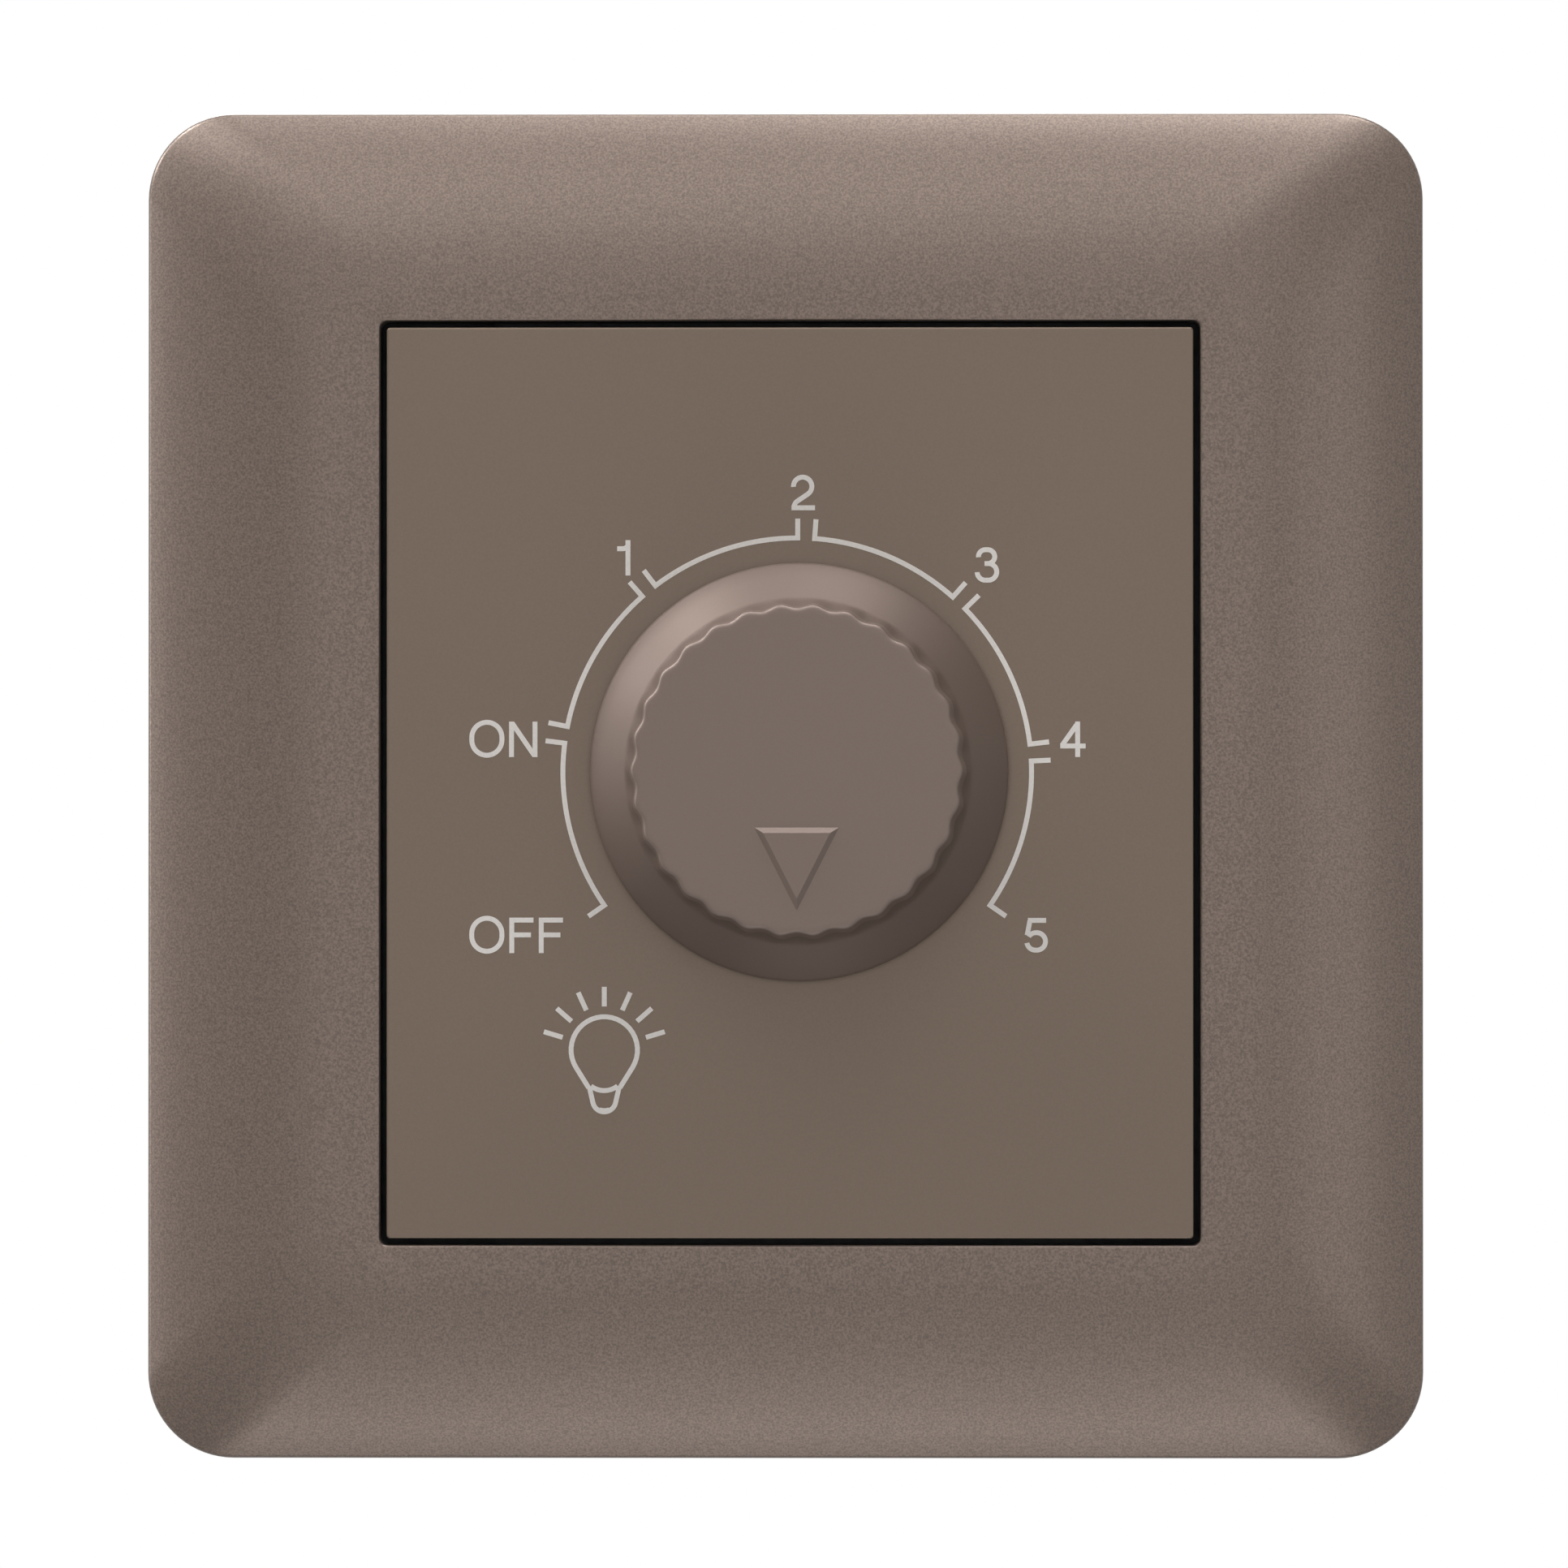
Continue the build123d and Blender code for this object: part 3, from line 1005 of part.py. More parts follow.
# Heat sink along the top of the casing, standing on the board on a foot
with BuildPart() as heat_sink:
    with BuildSketch(facing(BOARD_FRONT, MODULE_X, (HEAT_SINK_INNER + HEAT_SINK_OUTER) / 2)):
        Rectangle(HEAT_SINK_WIDTH, HEAT_SINK_WALL)
    extrude(amount=TRIAC_FRONT - BOARD_FRONT)
    with BuildSketch(facing(BOARD_FRONT, MODULE_X, HEAT_SINK_INNER)):
        Rectangle(HEAT_SINK_WIDTH, HEAT_SINK_WALL + HEAT_SINK_FOOT, align=(Align.CENTER, Align.MIN))
    extrude(amount=HEAT_SINK_WALL)
    with BuildSketch(rising(HEAT_SINK_INNER, MODULE_X, TRIAC_HOLE_DEPTH)):
        Circle(TRIAC_SCREW_RADIUS + HOLE_CLEARANCE)
    extrude(amount=HEAT_SINK_WALL, mode=Mode.SUBTRACT)

with BuildPart() as thermal_pad:
    with BuildSketch(rising(TAB_TOP, MODULE_X, (BOARD_FRONT + TRIAC_FRONT) / 2)):
        Rectangle(TRIAC_WIDTH + 2 * PAD_MARGIN, TRIAC_FRONT - BOARD_FRONT)
    extrude(amount=PAD_THICKNESS)
    with BuildSketch(rising(TAB_TOP, MODULE_X, TRIAC_HOLE_DEPTH)):
        Circle(TRIAC_HOLE_RADIUS)
    extrude(amount=PAD_THICKNESS, mode=Mode.SUBTRACT)

# Power switch: a metal tab with three leads, and a moulded body on the tab
with BuildPart() as triac_tab:
    with BuildSketch(rising(TAB_BOTTOM, MODULE_X, (TRIAC_REAR + TRIAC_FRONT) / 2)):
        Rectangle(TRIAC_WIDTH, TRIAC_HEIGHT)
        with Locations((0, TRIAC_HOLE_INSET - TRIAC_HEIGHT / 2)):
            Circle(TRIAC_HOLE_RADIUS, mode=Mode.SUBTRACT)
    extrude(amount=TRIAC_TAB_THICKNESS)
    with BuildSketch(facing(TRIAC_REAR, MODULE_X, TRIAC_LEAD_Z)):
        with GridLocations(TRIAC_LEAD_PITCH, 0, 3, 1):
            Rectangle(TRIAC_LEAD_WIDTH, TRIAC_LEAD_THICKNESS)
    extrude(amount=LEAD_END - TRIAC_REAR)

with BuildPart() as triac_body:
    with BuildSketch(facing(TRIAC_REAR, MODULE_X, TAB_BOTTOM)):
        Rectangle(TRIAC_WIDTH, TRIAC_BODY_THICKNESS, align=(Align.CENTER, Align.MAX))
    extrude(amount=TRIAC_BODY_HEIGHT)
    chamfer(triac_body.faces().sort_by(Axis.Z)[0].edges().filter_by(Axis.Y), CASE_ROUND)

with BuildPart() as triac_screw:
    with BuildSketch(rising(TAB_BOTTOM, MODULE_X, TRIAC_HOLE_DEPTH)):
        Circle(TRIAC_SCREW_HEAD_RADIUS)
    extrude(amount=-TRIAC_SCREW_HEAD_HEIGHT)
    with BuildSketch(rising(TAB_BOTTOM, MODULE_X, TRIAC_HOLE_DEPTH)):
        Circle(TRIAC_SCREW_RADIUS)
    extrude(amount=HEAT_SINK_OUTER + TRIAC_NUT_THICKNESS + TRIAC_SCREW_PROUD - TAB_BOTTOM)
    with BuildSketch(rising(TAB_BOTTOM - TRIAC_SCREW_HEAD_HEIGHT, MODULE_X, TRIAC_HOLE_DEPTH)):
        Rectangle(CROSS_LENGTH, CROSS_WIDTH)
        Rectangle(CROSS_WIDTH, CROSS_LENGTH)
    extrude(amount=CROSS_DEPTH, mode=Mode.SUBTRACT)

with BuildPart() as triac_nut:
    with BuildSketch(rising(HEAT_SINK_OUTER, MODULE_X, TRIAC_HOLE_DEPTH)):
        RegularPolygon(TRIAC_NUT_FLATS / 2, 6, major_radius=False)
        Circle(TRIAC_SCREW_RADIUS + SCREW_CLEARANCE, mode=Mode.SUBTRACT)
    extrude(amount=TRIAC_NUT_THICKNESS)

# Choke: a ring core and its turns, with two leads
with BuildPart() as choke_core:
    with BuildSketch(facing(CHOKE_REAR, LEFT_X, CHOKE_Z)):
        Circle(CHOKE_OUTER_RADIUS)
        Circle(CHOKE_INNER_RADIUS, mode=Mode.SUBTRACT)
    extrude(amount=CHOKE_HEIGHT)

TURN_MIDDLE = ((CHOKE_INNER_RADIUS + CHOKE_OUTER_RADIUS) / 2, CHOKE_REAR + CHOKE_HEIGHT / 2)
TURN_INNER_WIDTH = CHOKE_OUTER_RADIUS - CHOKE_INNER_RADIUS + 2 * WIRE_GAP
TURN_INNER_HEIGHT = CHOKE_HEIGHT + 2 * WIRE_GAP

with BuildPart() as choke_winding:
    for turn in range(CHOKE_TURNS):
        with BuildSketch(half_section(LEFT_X, CHOKE_Z, turn * 360 / CHOKE_TURNS)):
            with Locations(TURN_MIDDLE):
                Rectangle(TURN_INNER_WIDTH + 2 * WIRE_THICKNESS, TURN_INNER_HEIGHT + 2 * WIRE_THICKNESS)
                Rectangle(TURN_INNER_WIDTH, TURN_INNER_HEIGHT, mode=Mode.SUBTRACT)
    extrude(amount=WIRE_THICKNESS / 2, both=True)
    with BuildSketch(facing(BOARD_FRONT + WIRE_THICKNESS / 2, LEFT_X, CHOKE_Z)):
        with GridLocations(0, 2 * CHOKE_LEAD_REACH, 1, 2):
            Circle(LEAD_RADIUS)
    extrude(amount=LEAD_END - BOARD_FRONT - WIRE_THICKNESS / 2)

# Filter and timing capacitors, firing diode and resistors
with BuildPart() as filter_capacitor:
    add(boxed_component(RIGHT_X, FILTER_Z, FILTER_WIDTH, FILTER_LENGTH, FILTER_HEIGHT, FILTER_LEAD_PITCH))

with BuildPart() as timing_capacitor:
    add(boxed_component(LEFT_X, TIMING_Z, TIMING_WIDTH, TIMING_LENGTH, TIMING_HEIGHT, TIMING_LEAD_PITCH))

with BuildPart() as diac:
    add(axial_component(RIGHT_X, DIAC_Z, DIAC_SPAN, DIAC_RADIUS, DIAC_LENGTH))

with BuildPart() as resistors:
    for row in range(RESISTOR_COUNT):
        add(
            axial_component(
                LEFT_X, RESISTOR_Z + row * RESISTOR_PITCH, RESISTOR_SPAN, RESISTOR_RADIUS, RESISTOR_LENGTH
            )
        )

# Fuse along X: glass tube, two caps, the melting wire and two clips on the board
FUSE_BORE = FUSE_RADIUS - FUSE_CAP_WALL
TUBE_LENGTH = FUSE_LENGTH - 2 * FUSE_CAP_WALL


def fuse_section(x):
    """Plane across the fuse at a distance from its middle, facing right; its own y runs to the front."""
    return Plane(origin=(MODULE_X + x, -FUSE_DEPTH, FUSE_Z), x_dir=(0, 0, 1), z_dir=(1, 0, 0))


with BuildPart() as fuse_tube:
    with BuildSketch(fuse_section(0)):
        Circle(FUSE_BORE - FUSE_CLEARANCE)
        Circle(FUSE_BORE - FUSE_CLEARANCE - FUSE_GLASS_WALL, mode=Mode.SUBTRACT)
    extrude(amount=TUBE_LENGTH / 2, both=True)

with BuildPart() as fuse_caps:
    for side in pair:
        with BuildSketch(fuse_section(side * FUSE_LENGTH / 2)):
            Circle(FUSE_RADIUS)
        extrude(amount=-side * FUSE_CAP_LENGTH)
    with BuildSketch(fuse_section(0)):
        Circle(FUSE_BORE)
    extrude(amount=TUBE_LENGTH / 2, both=True, mode=Mode.SUBTRACT)

with BuildPart() as fuse_wire:
    with BuildSketch(fuse_section(0)):
        Circle(FUSE_WIRE_RADIUS)
    extrude(amount=TUBE_LENGTH / 2, both=True)

with BuildPart() as fuse_clips:
    clip_inner = FUSE_RADIUS + FUSE_CLEARANCE
    clip_outer = FUSE_RADIUS + CLIP_STRIP
    for side in pair:
        middle = fuse_section(side * FUSE_CLIP_SPACING / 2)
        extrude(
            ring_sector(middle, clip_inner, clip_outer, -90, CLIP_SPAN_ANGLE),
            amount=CLIP_STRIP_WIDTH / 2,
            both=True,
        )
        with BuildSketch(middle):
            with Locations((0, BOARD_FRONT - FUSE_DEPTH)):
                Rectangle(CLIP_STEM_WIDTH, CLIP_STEM + CLIP_STRIP / 2, align=(Align.CENTER, Align.MIN))
        extrude(amount=CLIP_STRIP_WIDTH / 2, both=True)
        with BuildSketch(middle):
            with Locations((0, BOARD_FRONT - FUSE_DEPTH)):
                Rectangle(PIN_WIDTH, BOARD_THICKNESS, align=(Align.CENTER, Align.MAX))
        extrude(amount=PIN_THICKNESS / 2, both=True)

# Terminal block in the casing's bay: each clamp has a pocket, open below for the wire, and a screw access
POCKET_HEIGHT = TERMINAL_WALL + CLAMP_HEIGHT + CLAMP_CLEARANCE

with BuildPart() as terminal_block:
    with BuildSketch(facing(CASING_REAR, MODULE_X, BLOCK_Z)):
        Rectangle(BLOCK_WIDTH, TERMINAL_HEIGHT)
    extrude(amount=TERMINAL_DEPTH)
    for x in TERMINAL_X:
        with BuildSketch(facing(BOARD_REAR, x, BLOCK_BOTTOM)):
            Rectangle(CLAMP_WIDTH + 2 * CLAMP_CLEARANCE, POCKET_HEIGHT, align=(Align.CENTER, Align.MIN))
    extrude(amount=-CLAMP_DEPTH, mode=Mode.SUBTRACT)
    for x in TERMINAL_X:
        with BuildSketch(facing(CASING_REAR, x, CLAMP_Z)):
            Circle(TERMINAL_SCREW_HEAD_RADIUS + TERMINAL_ACCESS_CLEARANCE)
    extrude(amount=CLAMP_REAR - CASING_REAR, mode=Mode.SUBTRACT)

with BuildPart() as terminal_clamps:
    for x in TERMINAL_X:
        with BuildSketch(facing(BOARD_REAR, x, CLAMP_Z)):
            Rectangle(CLAMP_WIDTH, CLAMP_HEIGHT)
    extrude(amount=-CLAMP_DEPTH)
    for x in TERMINAL_X:
        with BuildSketch(facing(BOARD_REAR, x, CLAMP_Z)):
            Rectangle(CLAMP_PIN, CLAMP_PIN)
    extrude(amount=BOARD_THICKNESS)
    for x in TERMINAL_X:
        with BuildSketch(rising(CLAMP_BOTTOM, x, WIRE_BORE_DEPTH)):
            Circle(WIRE_BORE_RADIUS)
    extrude(amount=CLAMP_HEIGHT, mode=Mode.SUBTRACT)
    for x in TERMINAL_X:
        with BuildSketch(facing(CLAMP_REAR, x, CLAMP_Z)):
            Circle(TERMINAL_SCREW_RADIUS + SCREW_CLEARANCE)
    extrude(amount=WIRE_BORE_DEPTH - CLAMP_REAR, mode=Mode.SUBTRACT)

with BuildPart() as terminal_screws:
    for x in TERMINAL_X:
        with BuildSketch(facing(TERMINAL_SCREW_SEAT, x, CLAMP_Z)):
            Circle(TERMINAL_SCREW_HEAD_RADIUS)
    extrude(amount=-TERMINAL_SCREW_HEAD_HEIGHT)
    for x in TERMINAL_X:
        with BuildSketch(facing(TERMINAL_SCREW_SEAT, x, CLAMP_Z)):
            Circle(TERMINAL_SCREW_RADIUS)
    extrude(amount=TERMINAL_SCREW_TIP - TERMINAL_SCREW_SEAT)
    for x in TERMINAL_X:
        with BuildSketch(facing(TERMINAL_SCREW_SEAT - TERMINAL_SCREW_HEAD_HEIGHT, x, CLAMP_Z)):
            Rectangle(2 * TERMINAL_SCREW_HEAD_RADIUS, SLOT_CUT_WIDTH)
    extrude(amount=SLOT_CUT_DEPTH, mode=Mode.SUBTRACT)

pieces = {
    "front_plate": front_plate,
    "dial_plate": dial_plate,
    "support_frame": support_frame,
    "chassis": chassis,
    "rear_casing": rear_casing,
    "casing_screws": casing_screws,
    "knob": knob,
    "knob_spring": knob_spring,
    "shaft": shaft,
    "retaining_ring": retaining_ring,
    "bushing": bushing,
    "bushing_nut": bushing_nut,
    "lock_washer": lock_washer,
    "pot_can": pot_can,
    "pot_wafer": pot_wafer,
    "pot_rotor": pot_rotor,
    "pot_wiper": pot_wiper,
    "pot_pins": pot_pins,
    "switch_case": switch_case,
    "switch_cam": switch_cam,
    "switch_leaf": switch_leaf,
    "switch_contact": switch_contact,
    "circuit_board": circuit_board,
    "heat_sink": heat_sink,
    "thermal_pad": thermal_pad,
    "triac_tab": triac_tab,
    "triac_body": triac_body,
    "triac_screw": triac_screw,
    "triac_nut": triac_nut,
    "choke_core": choke_core,
    "choke_winding": choke_winding,
    "filter_capacitor": filter_capacitor,
    "timing_capacitor": timing_capacitor,
    "diac": diac,
    "resistors": resistors,
    "fuse_tube": fuse_tube,
    "fuse_caps": fuse_caps,
    "fuse_wire": fuse_wire,
    "fuse_clips": fuse_clips,
    "terminal_block": terminal_block,
    "terminal_clamps": terminal_clamps,
    "terminal_screws": terminal_screws,
}

os.makedirs("parts", exist_ok=True)
for name, piece in pieces.items():
    piece.part.label = name
    export_step(piece.part, f"parts/{name}.step")
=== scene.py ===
import json
import math
from collections import namedtuple

import bmesh
import bpy
from bpy.props import FloatProperty, FloatVectorProperty, IntProperty, PointerProperty
from mathutils import Matrix, Vector


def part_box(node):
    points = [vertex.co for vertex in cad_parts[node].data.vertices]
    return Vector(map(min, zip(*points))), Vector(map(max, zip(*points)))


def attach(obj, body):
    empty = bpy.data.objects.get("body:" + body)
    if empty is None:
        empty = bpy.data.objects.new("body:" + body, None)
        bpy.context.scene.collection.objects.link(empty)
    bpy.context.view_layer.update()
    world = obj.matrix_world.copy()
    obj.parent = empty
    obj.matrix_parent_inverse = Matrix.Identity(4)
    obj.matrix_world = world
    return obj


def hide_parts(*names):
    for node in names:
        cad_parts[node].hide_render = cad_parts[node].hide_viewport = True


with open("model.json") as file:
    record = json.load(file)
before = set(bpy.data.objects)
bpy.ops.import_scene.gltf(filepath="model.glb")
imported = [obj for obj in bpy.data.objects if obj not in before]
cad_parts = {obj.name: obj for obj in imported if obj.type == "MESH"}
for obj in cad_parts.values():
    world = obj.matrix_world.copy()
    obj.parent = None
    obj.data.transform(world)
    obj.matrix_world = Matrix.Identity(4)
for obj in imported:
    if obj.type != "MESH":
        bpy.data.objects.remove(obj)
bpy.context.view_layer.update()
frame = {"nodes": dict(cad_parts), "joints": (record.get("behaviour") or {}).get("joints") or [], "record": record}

bl_info = {
    "name": "Rotary wall dimmer",
    "version": (1, 0, 0),
    "blender": (4, 5, 0),
    "location": "View3D > Sidebar > Dimmer",
    "description": "Dresses the packed dimmer with its cover plate, knob, printed dial, finishes and stage",
    "category": "Object",
}

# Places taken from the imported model, in metres: the front faces -Y, and a depth is minus y
MM = 0.001
PLATE_LOW, PLATE_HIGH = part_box("front_plate")
DIAL_LOW, DIAL_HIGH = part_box("dial_plate")
KNOB_LOW, KNOB_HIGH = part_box("knob")
KNOB_AXIS = Vector(frame["joints"][0]["pos_m"])
PLATE_DEPTH = -PLATE_LOW.y
NODE_SLOTS = {part["node"]: part["material_slot"] for part in frame["record"]["subparts"]}

# Turns a flat shape drawn on X and Y so that it faces the viewer, with its Y up
FACING = Matrix.Rotation(math.radians(90), 4, "X")
TOWARDS_VIEWER = Vector((0, -1, 0))
SHARP_ANGLE = math.radians(38)
SIDES = (-1, 1)

# Faces across a small round, and across the round at the plate's edge
ROUND_STEPS = 4
EDGE_STEPS = 6

# A rounded rectangle seen from the front
Outline = namedtuple("Outline", "x z half_x half_z radius depth")


def size_property(name, description, millimetres):
    """Length that the sidebar shows in the scene's own unit."""
    return FloatProperty(
        name=name, description=description, default=millimetres * MM, unit="LENGTH", precision=6
    )


def angle_property(name, description, degrees):
    """Angle that the sidebar shows in degrees."""
    return FloatProperty(
        name=name, description=description, default=math.radians(degrees), subtype="ANGLE"
    )


def colour_property(name, description, colour):
    """Colour swatch, in linear light."""
    return FloatVectorProperty(
        name=name, description=description, default=colour, subtype="COLOR", size=3, min=0, max=1
    )


class PlateSizes(bpy.types.PropertyGroup):
    """Sizes of the cover plate."""

    corner: size_property("Corner radius", "Radius of the plate's corners", 5.8)
    wall: size_property("Wall", "Thickness of the shell", 2.0)
    drop: size_property("Border drop", "How far the border rolls off at the edge", 4.2)
    margin: size_property("Flat margin", "Width of the flat band at the window's nearest side", 1.75)
    edge_round: size_property("Edge round", "Round between the border and the side wall", 0.5)
    rim_break: size_property("Rim break", "Chamfer at the rear rim and on the catches", 0.15)
    window_gap: size_property("Window gap", "Gap between the window and the dial plate", 0.44)
    window_corner: size_property("Window corner", "Radius of the window's corners", 0.5)
    window_round: size_property("Window round", "Round along the window's edge", 0.2)
    collar_wall: size_property("Collar wall", "Thickness of the collar behind the window", 1.4)
    collar_height: size_property("Collar height", "Height of the collar behind the face", 1.6)
    catch_inner: size_property("Catch lip", "Distance from the middle to the snap catch's lip", 37.8)
    catch_web: size_property("Catch web", "Distance from the middle to the snap catch's web", 38.3)
    catch_outer: size_property("Catch back", "Distance from the middle to the snap catch's back", 39.6)
    catch_rear: size_property("Catch rear", "Depth of the snap catch's free end", 2.6)
    catch_front: size_property("Catch lip front", "Depth where the snap catch's lip ends", 4.1)
    catch_root: size_property("Catch root", "Depth where the snap catch joins the shell", 6.3)
    catch_spacing: size_property("Catch spacing", "Distance between the two catches on a side", 50.0)
    catch_length: size_property("Catch length", "Length of a snap catch", 8.0)
    arc_steps: IntProperty(name="Border steps", description="Faces across the border", default=20, min=4)
    corner_steps: IntProperty(name="Corner steps", description="Faces round a corner", default=18, min=4)


class KnobSizes(bpy.types.PropertyGroup):
    """Sizes of the knob."""

    skirt_edge: size_property("Skirt edge", "Height of the upright edge at the skirt's foot", 0.8)
    skirt_round: size_property("Skirt round", "Round between the upright edge and the slope", 0.3)
    skirt_angle: angle_property("Skirt slope", "Slope of the skirt", 57.0)
    grip_radius: size_property("Grip radius", "Mean radius of the fluted grip at its top", 10.9)
    grip_draft: angle_property("Grip draft", "Draft of the grip's side", 2.0)
    grip_round: size_property("Grip round", "Round along the grip's top edge", 0.3)
    flutes: IntProperty(name="Flutes", description="Flutes round the grip", default=30, min=6)
    flute_depth: size_property("Flute depth", "Depth of a flute", 0.26)
    flute_steps: IntProperty(name="Flute steps", description="Faces across a flute", default=10, min=4)
    wall: size_property("Wall", "Thickness of the shell", 1.6)
    top: size_property("Top", "Thickness of the top", 1.8)
    boss: size_property("Boss radius", "Radius of the boss round the shaft", 5.0)
    boss_recess: size_property("Boss recess", "How far the boss stops short of the base", 0.8)
    socket: size_property("Socket radius", "Radius of the shaft's socket", 3.05)
    pointer_width: size_property("Pointer width", "Width of the raised triangle", 5.6)
    pointer_length: size_property("Pointer length", "Length of the raised triangle", 5.5)
    pointer_start: size_property("Pointer start", "From the axis down to the triangle's upper edge", 3.8)
    pointer_height: size_property("Pointer height", "How far the triangle stands proud", 0.3)
    pointer_slope: size_property("Pointer slope", "How far the triangle's sides lean in", 0.3575)


class PrintSizes(bpy.types.PropertyGroup):
    """Sizes of what is printed on the dial plate."""

    thickness: size_property("Ink thickness", "How far the ink stands proud", 0.02)
    sink: size_property("Ink sink", "How far the ink is let into the paint", 0.01)
    stroke: size_property("Stroke", "Width of a printed line", 0.33)
    shift_x: size_property("Scale shift", "Scale's centre, to the right of the knob's axis", -0.15)
    arc_radius: size_property("Scale radius", "Radius of the scale's arcs", 15.73)
    tick: size_property("Tick", "Length of the ticks at an arc's ends", 1.3)
    end_angle: angle_property("Scale end", "Angle from the top to either end of the scale", 124.6)
    gap_pitch: angle_property("Mark pitch", "Angle between two marks", 41.5)
    gap_turn: angle_property("Mark turn", "Angle of the middle mark from the top", 2.2)
    gap_half: angle_property("Mark half gap", "Angle from a mark to the ticks beside it", 2.07)
    ray_start: size_property("Ray start", "From the bulb's middle to the start of a ray", 2.92)
    ray_end: size_property("Ray end", "From the bulb's middle to the end of a ray", 4.24)
    ray_pitch: angle_property("Ray pitch", "Angle between two rays", 24.4)


class Finishes(bpy.types.PropertyGroup):
    """Colours of the main finishes."""

    plate: colour_property("Plate paint", "Bronze paint on the cover plate", (0.139, 0.103, 0.084))
    dial: colour_property("Dial paint", "Bronze paint on the dial plate", (0.136, 0.098, 0.072))
    knob: colour_property("Knob paint", "Bronze paint on the knob", (0.13, 0.092, 0.074))
    bare: colour_property("Bare moulding", "Unpainted inside of the cover plate", (0.085, 0.075, 0.066))
    ink: colour_property("Ink", "Printed scale, numbers and sign", (0.80, 0.76, 0.72))
    black: colour_property("Black moulding", "Support frame and inner mouldings", (0.012, 0.012, 0.013))
    casing: colour_property("Casing", "Rear casing", (0.045, 0.046, 0.05))
    block: colour_property("Terminal block", "Wiring terminals", (0.62, 0.6, 0.54))


class StageSettings(bpy.types.PropertyGroup):
    """Camera, floor and light."""

    lens: FloatProperty(name="Lens", description="Focal length", default=300.0, subtype="DISTANCE_CAMERA")
    view_width: size_property("View width", "Width of the picture at the plate's face", 105.258)
    aim_x: size_property("Aim x", "Where the camera aims on the plate, to the right", -0.013)
    aim_z: size_property("Aim z", "Where the camera aims on the plate, upwards", 0.063)
    azimuth: angle_property("Azimuth", "How far the camera stands to the right", 0.9)
    elevation: angle_property("Elevation", "How far the camera stands above the plate's middle", -0.58)
    ambient: FloatProperty(name="Ambient", description="Light from all round", default=0.05, min=0)
    floor: FloatProperty(name="Floor", description="Height of the floor", default=-1.3, unit="LENGTH")


class DimmerSettings(bpy.types.PropertyGroup):
    """All the settings of the dimmer."""

    plate: PointerProperty(type=PlateSizes)
    knob: PointerProperty(type=KnobSizes)
    printing: PointerProperty(type=PrintSizes)
    finishes: PointerProperty(type=Finishes)
    stage: PointerProperty(type=StageSettings)


# Materials

WHITE = (1.0, 1.0, 1.0)

# Bronze paints: share of metal, roughness, tint of the flakes, relief in metres and specular level
Paint = namedtuple("Paint", "metallic roughness flake relief specular")
PLATE_PAINT = Paint(0.45, 0.34, 0.26, 0.000004, 0.5)
DIAL_PAINT = Paint(0.45, 0.34, 0.03, 0.000002, 0.5)
KNOB_PAINT = Paint(0.5, 0.5, 0.03, 0.000002, 1.0)

# The paint's flakes and clouds: size and detail of a flake, size and shade of a cloud, with sizes in metres
FLAKE_SIZE = 0.00014
FLAKE_DETAIL = 1.0
CLOUD_SIZE = 0.012
CLOUD_SHADE = 0.985

# Plain finishes: share of metal, roughness, size of the grain in metres, tint, relief in metres and stretch
Grain = namedtuple("Grain", "metallic roughness size tint relief stretch", defaults=[(1, 1, 1)])
BARE_MOULDING = Grain(0.0, 0.55, 0.0005, 0.08, 0.000008)
SCALE_INK = Grain(0.0, 0.6, 0.0002, 0.04, 0.000002)
DARK_MOULDING = Grain(0.0, 0.5, 0.0004, 0.2, 0.00001)
CASING_MOULDING = Grain(0.0, 0.48, 0.0005, 0.12, 0.000014)
BLOCK_MOULDING = Grain(0.0, 0.45, 0.0006, 0.05, 0.00001)

# How far a plain finish's roughness varies with its grain, and the least that it comes down to
ROUGHNESS_SPREAD = 0.06
LEAST_ROUGHNESS = 0.05

# Metals and plastics of the hidden parts, by the record's slot
INNER_FINISHES = {
    "phenolic": ((0.10, 0.045, 0.018), Grain(0.0, 0.55, 0.0008, 0.2, 0.00002)),
    "board": ((0.008, 0.05, 0.02), Grain(0.0, 0.4, 0.0006, 0.15, 0.00001)),
    "epoxy": ((0.012, 0.012, 0.012), Grain(0.0, 0.6, 0.0003, 0.2, 0.00001)),
    "capacitor_case": ((0.48, 0.24, 0.012), Grain(0.0, 0.3, 0.004, 0.06, 0.00001)),
    "resistor_lacquer": ((0.45, 0.31, 0.16), Grain(0.0, 0.35, 0.001, 0.1, 0.00001)),
    "pad_rubber": ((0.2, 0.2, 0.21), Grain(0.0, 0.8, 0.0004, 0.1, 0.00001)),
    "ferrite": ((0.03, 0.03, 0.033), Grain(0.2, 0.7, 0.0004, 0.25, 0.00003)),
    "copper": ((0.55, 0.2, 0.08), Grain(1.0, 0.3, 0.0006, 0.12, 0.000005)),
    "brass": ((0.62, 0.42, 0.13), Grain(1.0, 0.32, 0.0005, 0.1, 0.000006, (1, 1, 4))),
    "spring_bronze": ((0.55, 0.32, 0.12), Grain(1.0, 0.35, 0.0005, 0.1, 0.000005, (1, 1, 4))),
    "zinc_steel": ((0.6, 0.61, 0.62), Grain(1.0, 0.34, 0.0005, 0.1, 0.000006)),
    "tinned": ((0.66, 0.66, 0.64), Grain(1.0, 0.4, 0.0006, 0.08, 0.000006)),
    "sink_aluminium": ((0.72, 0.73, 0.74), Grain(1.0, 0.42, 0.0004, 0.08, 0.000006, (0.1, 1, 1))),
}

# Glass of the fuse tube: colour, roughness, refraction, and the size and relief of its waves in metres
GLASS_COLOUR = (0.95, 0.97, 0.96)
GLASS_ROUGHNESS = 0.06
GLASS_IOR = 1.5
GLASS_WAVE = 0.003
GLASS_RELIEF = 0.00001


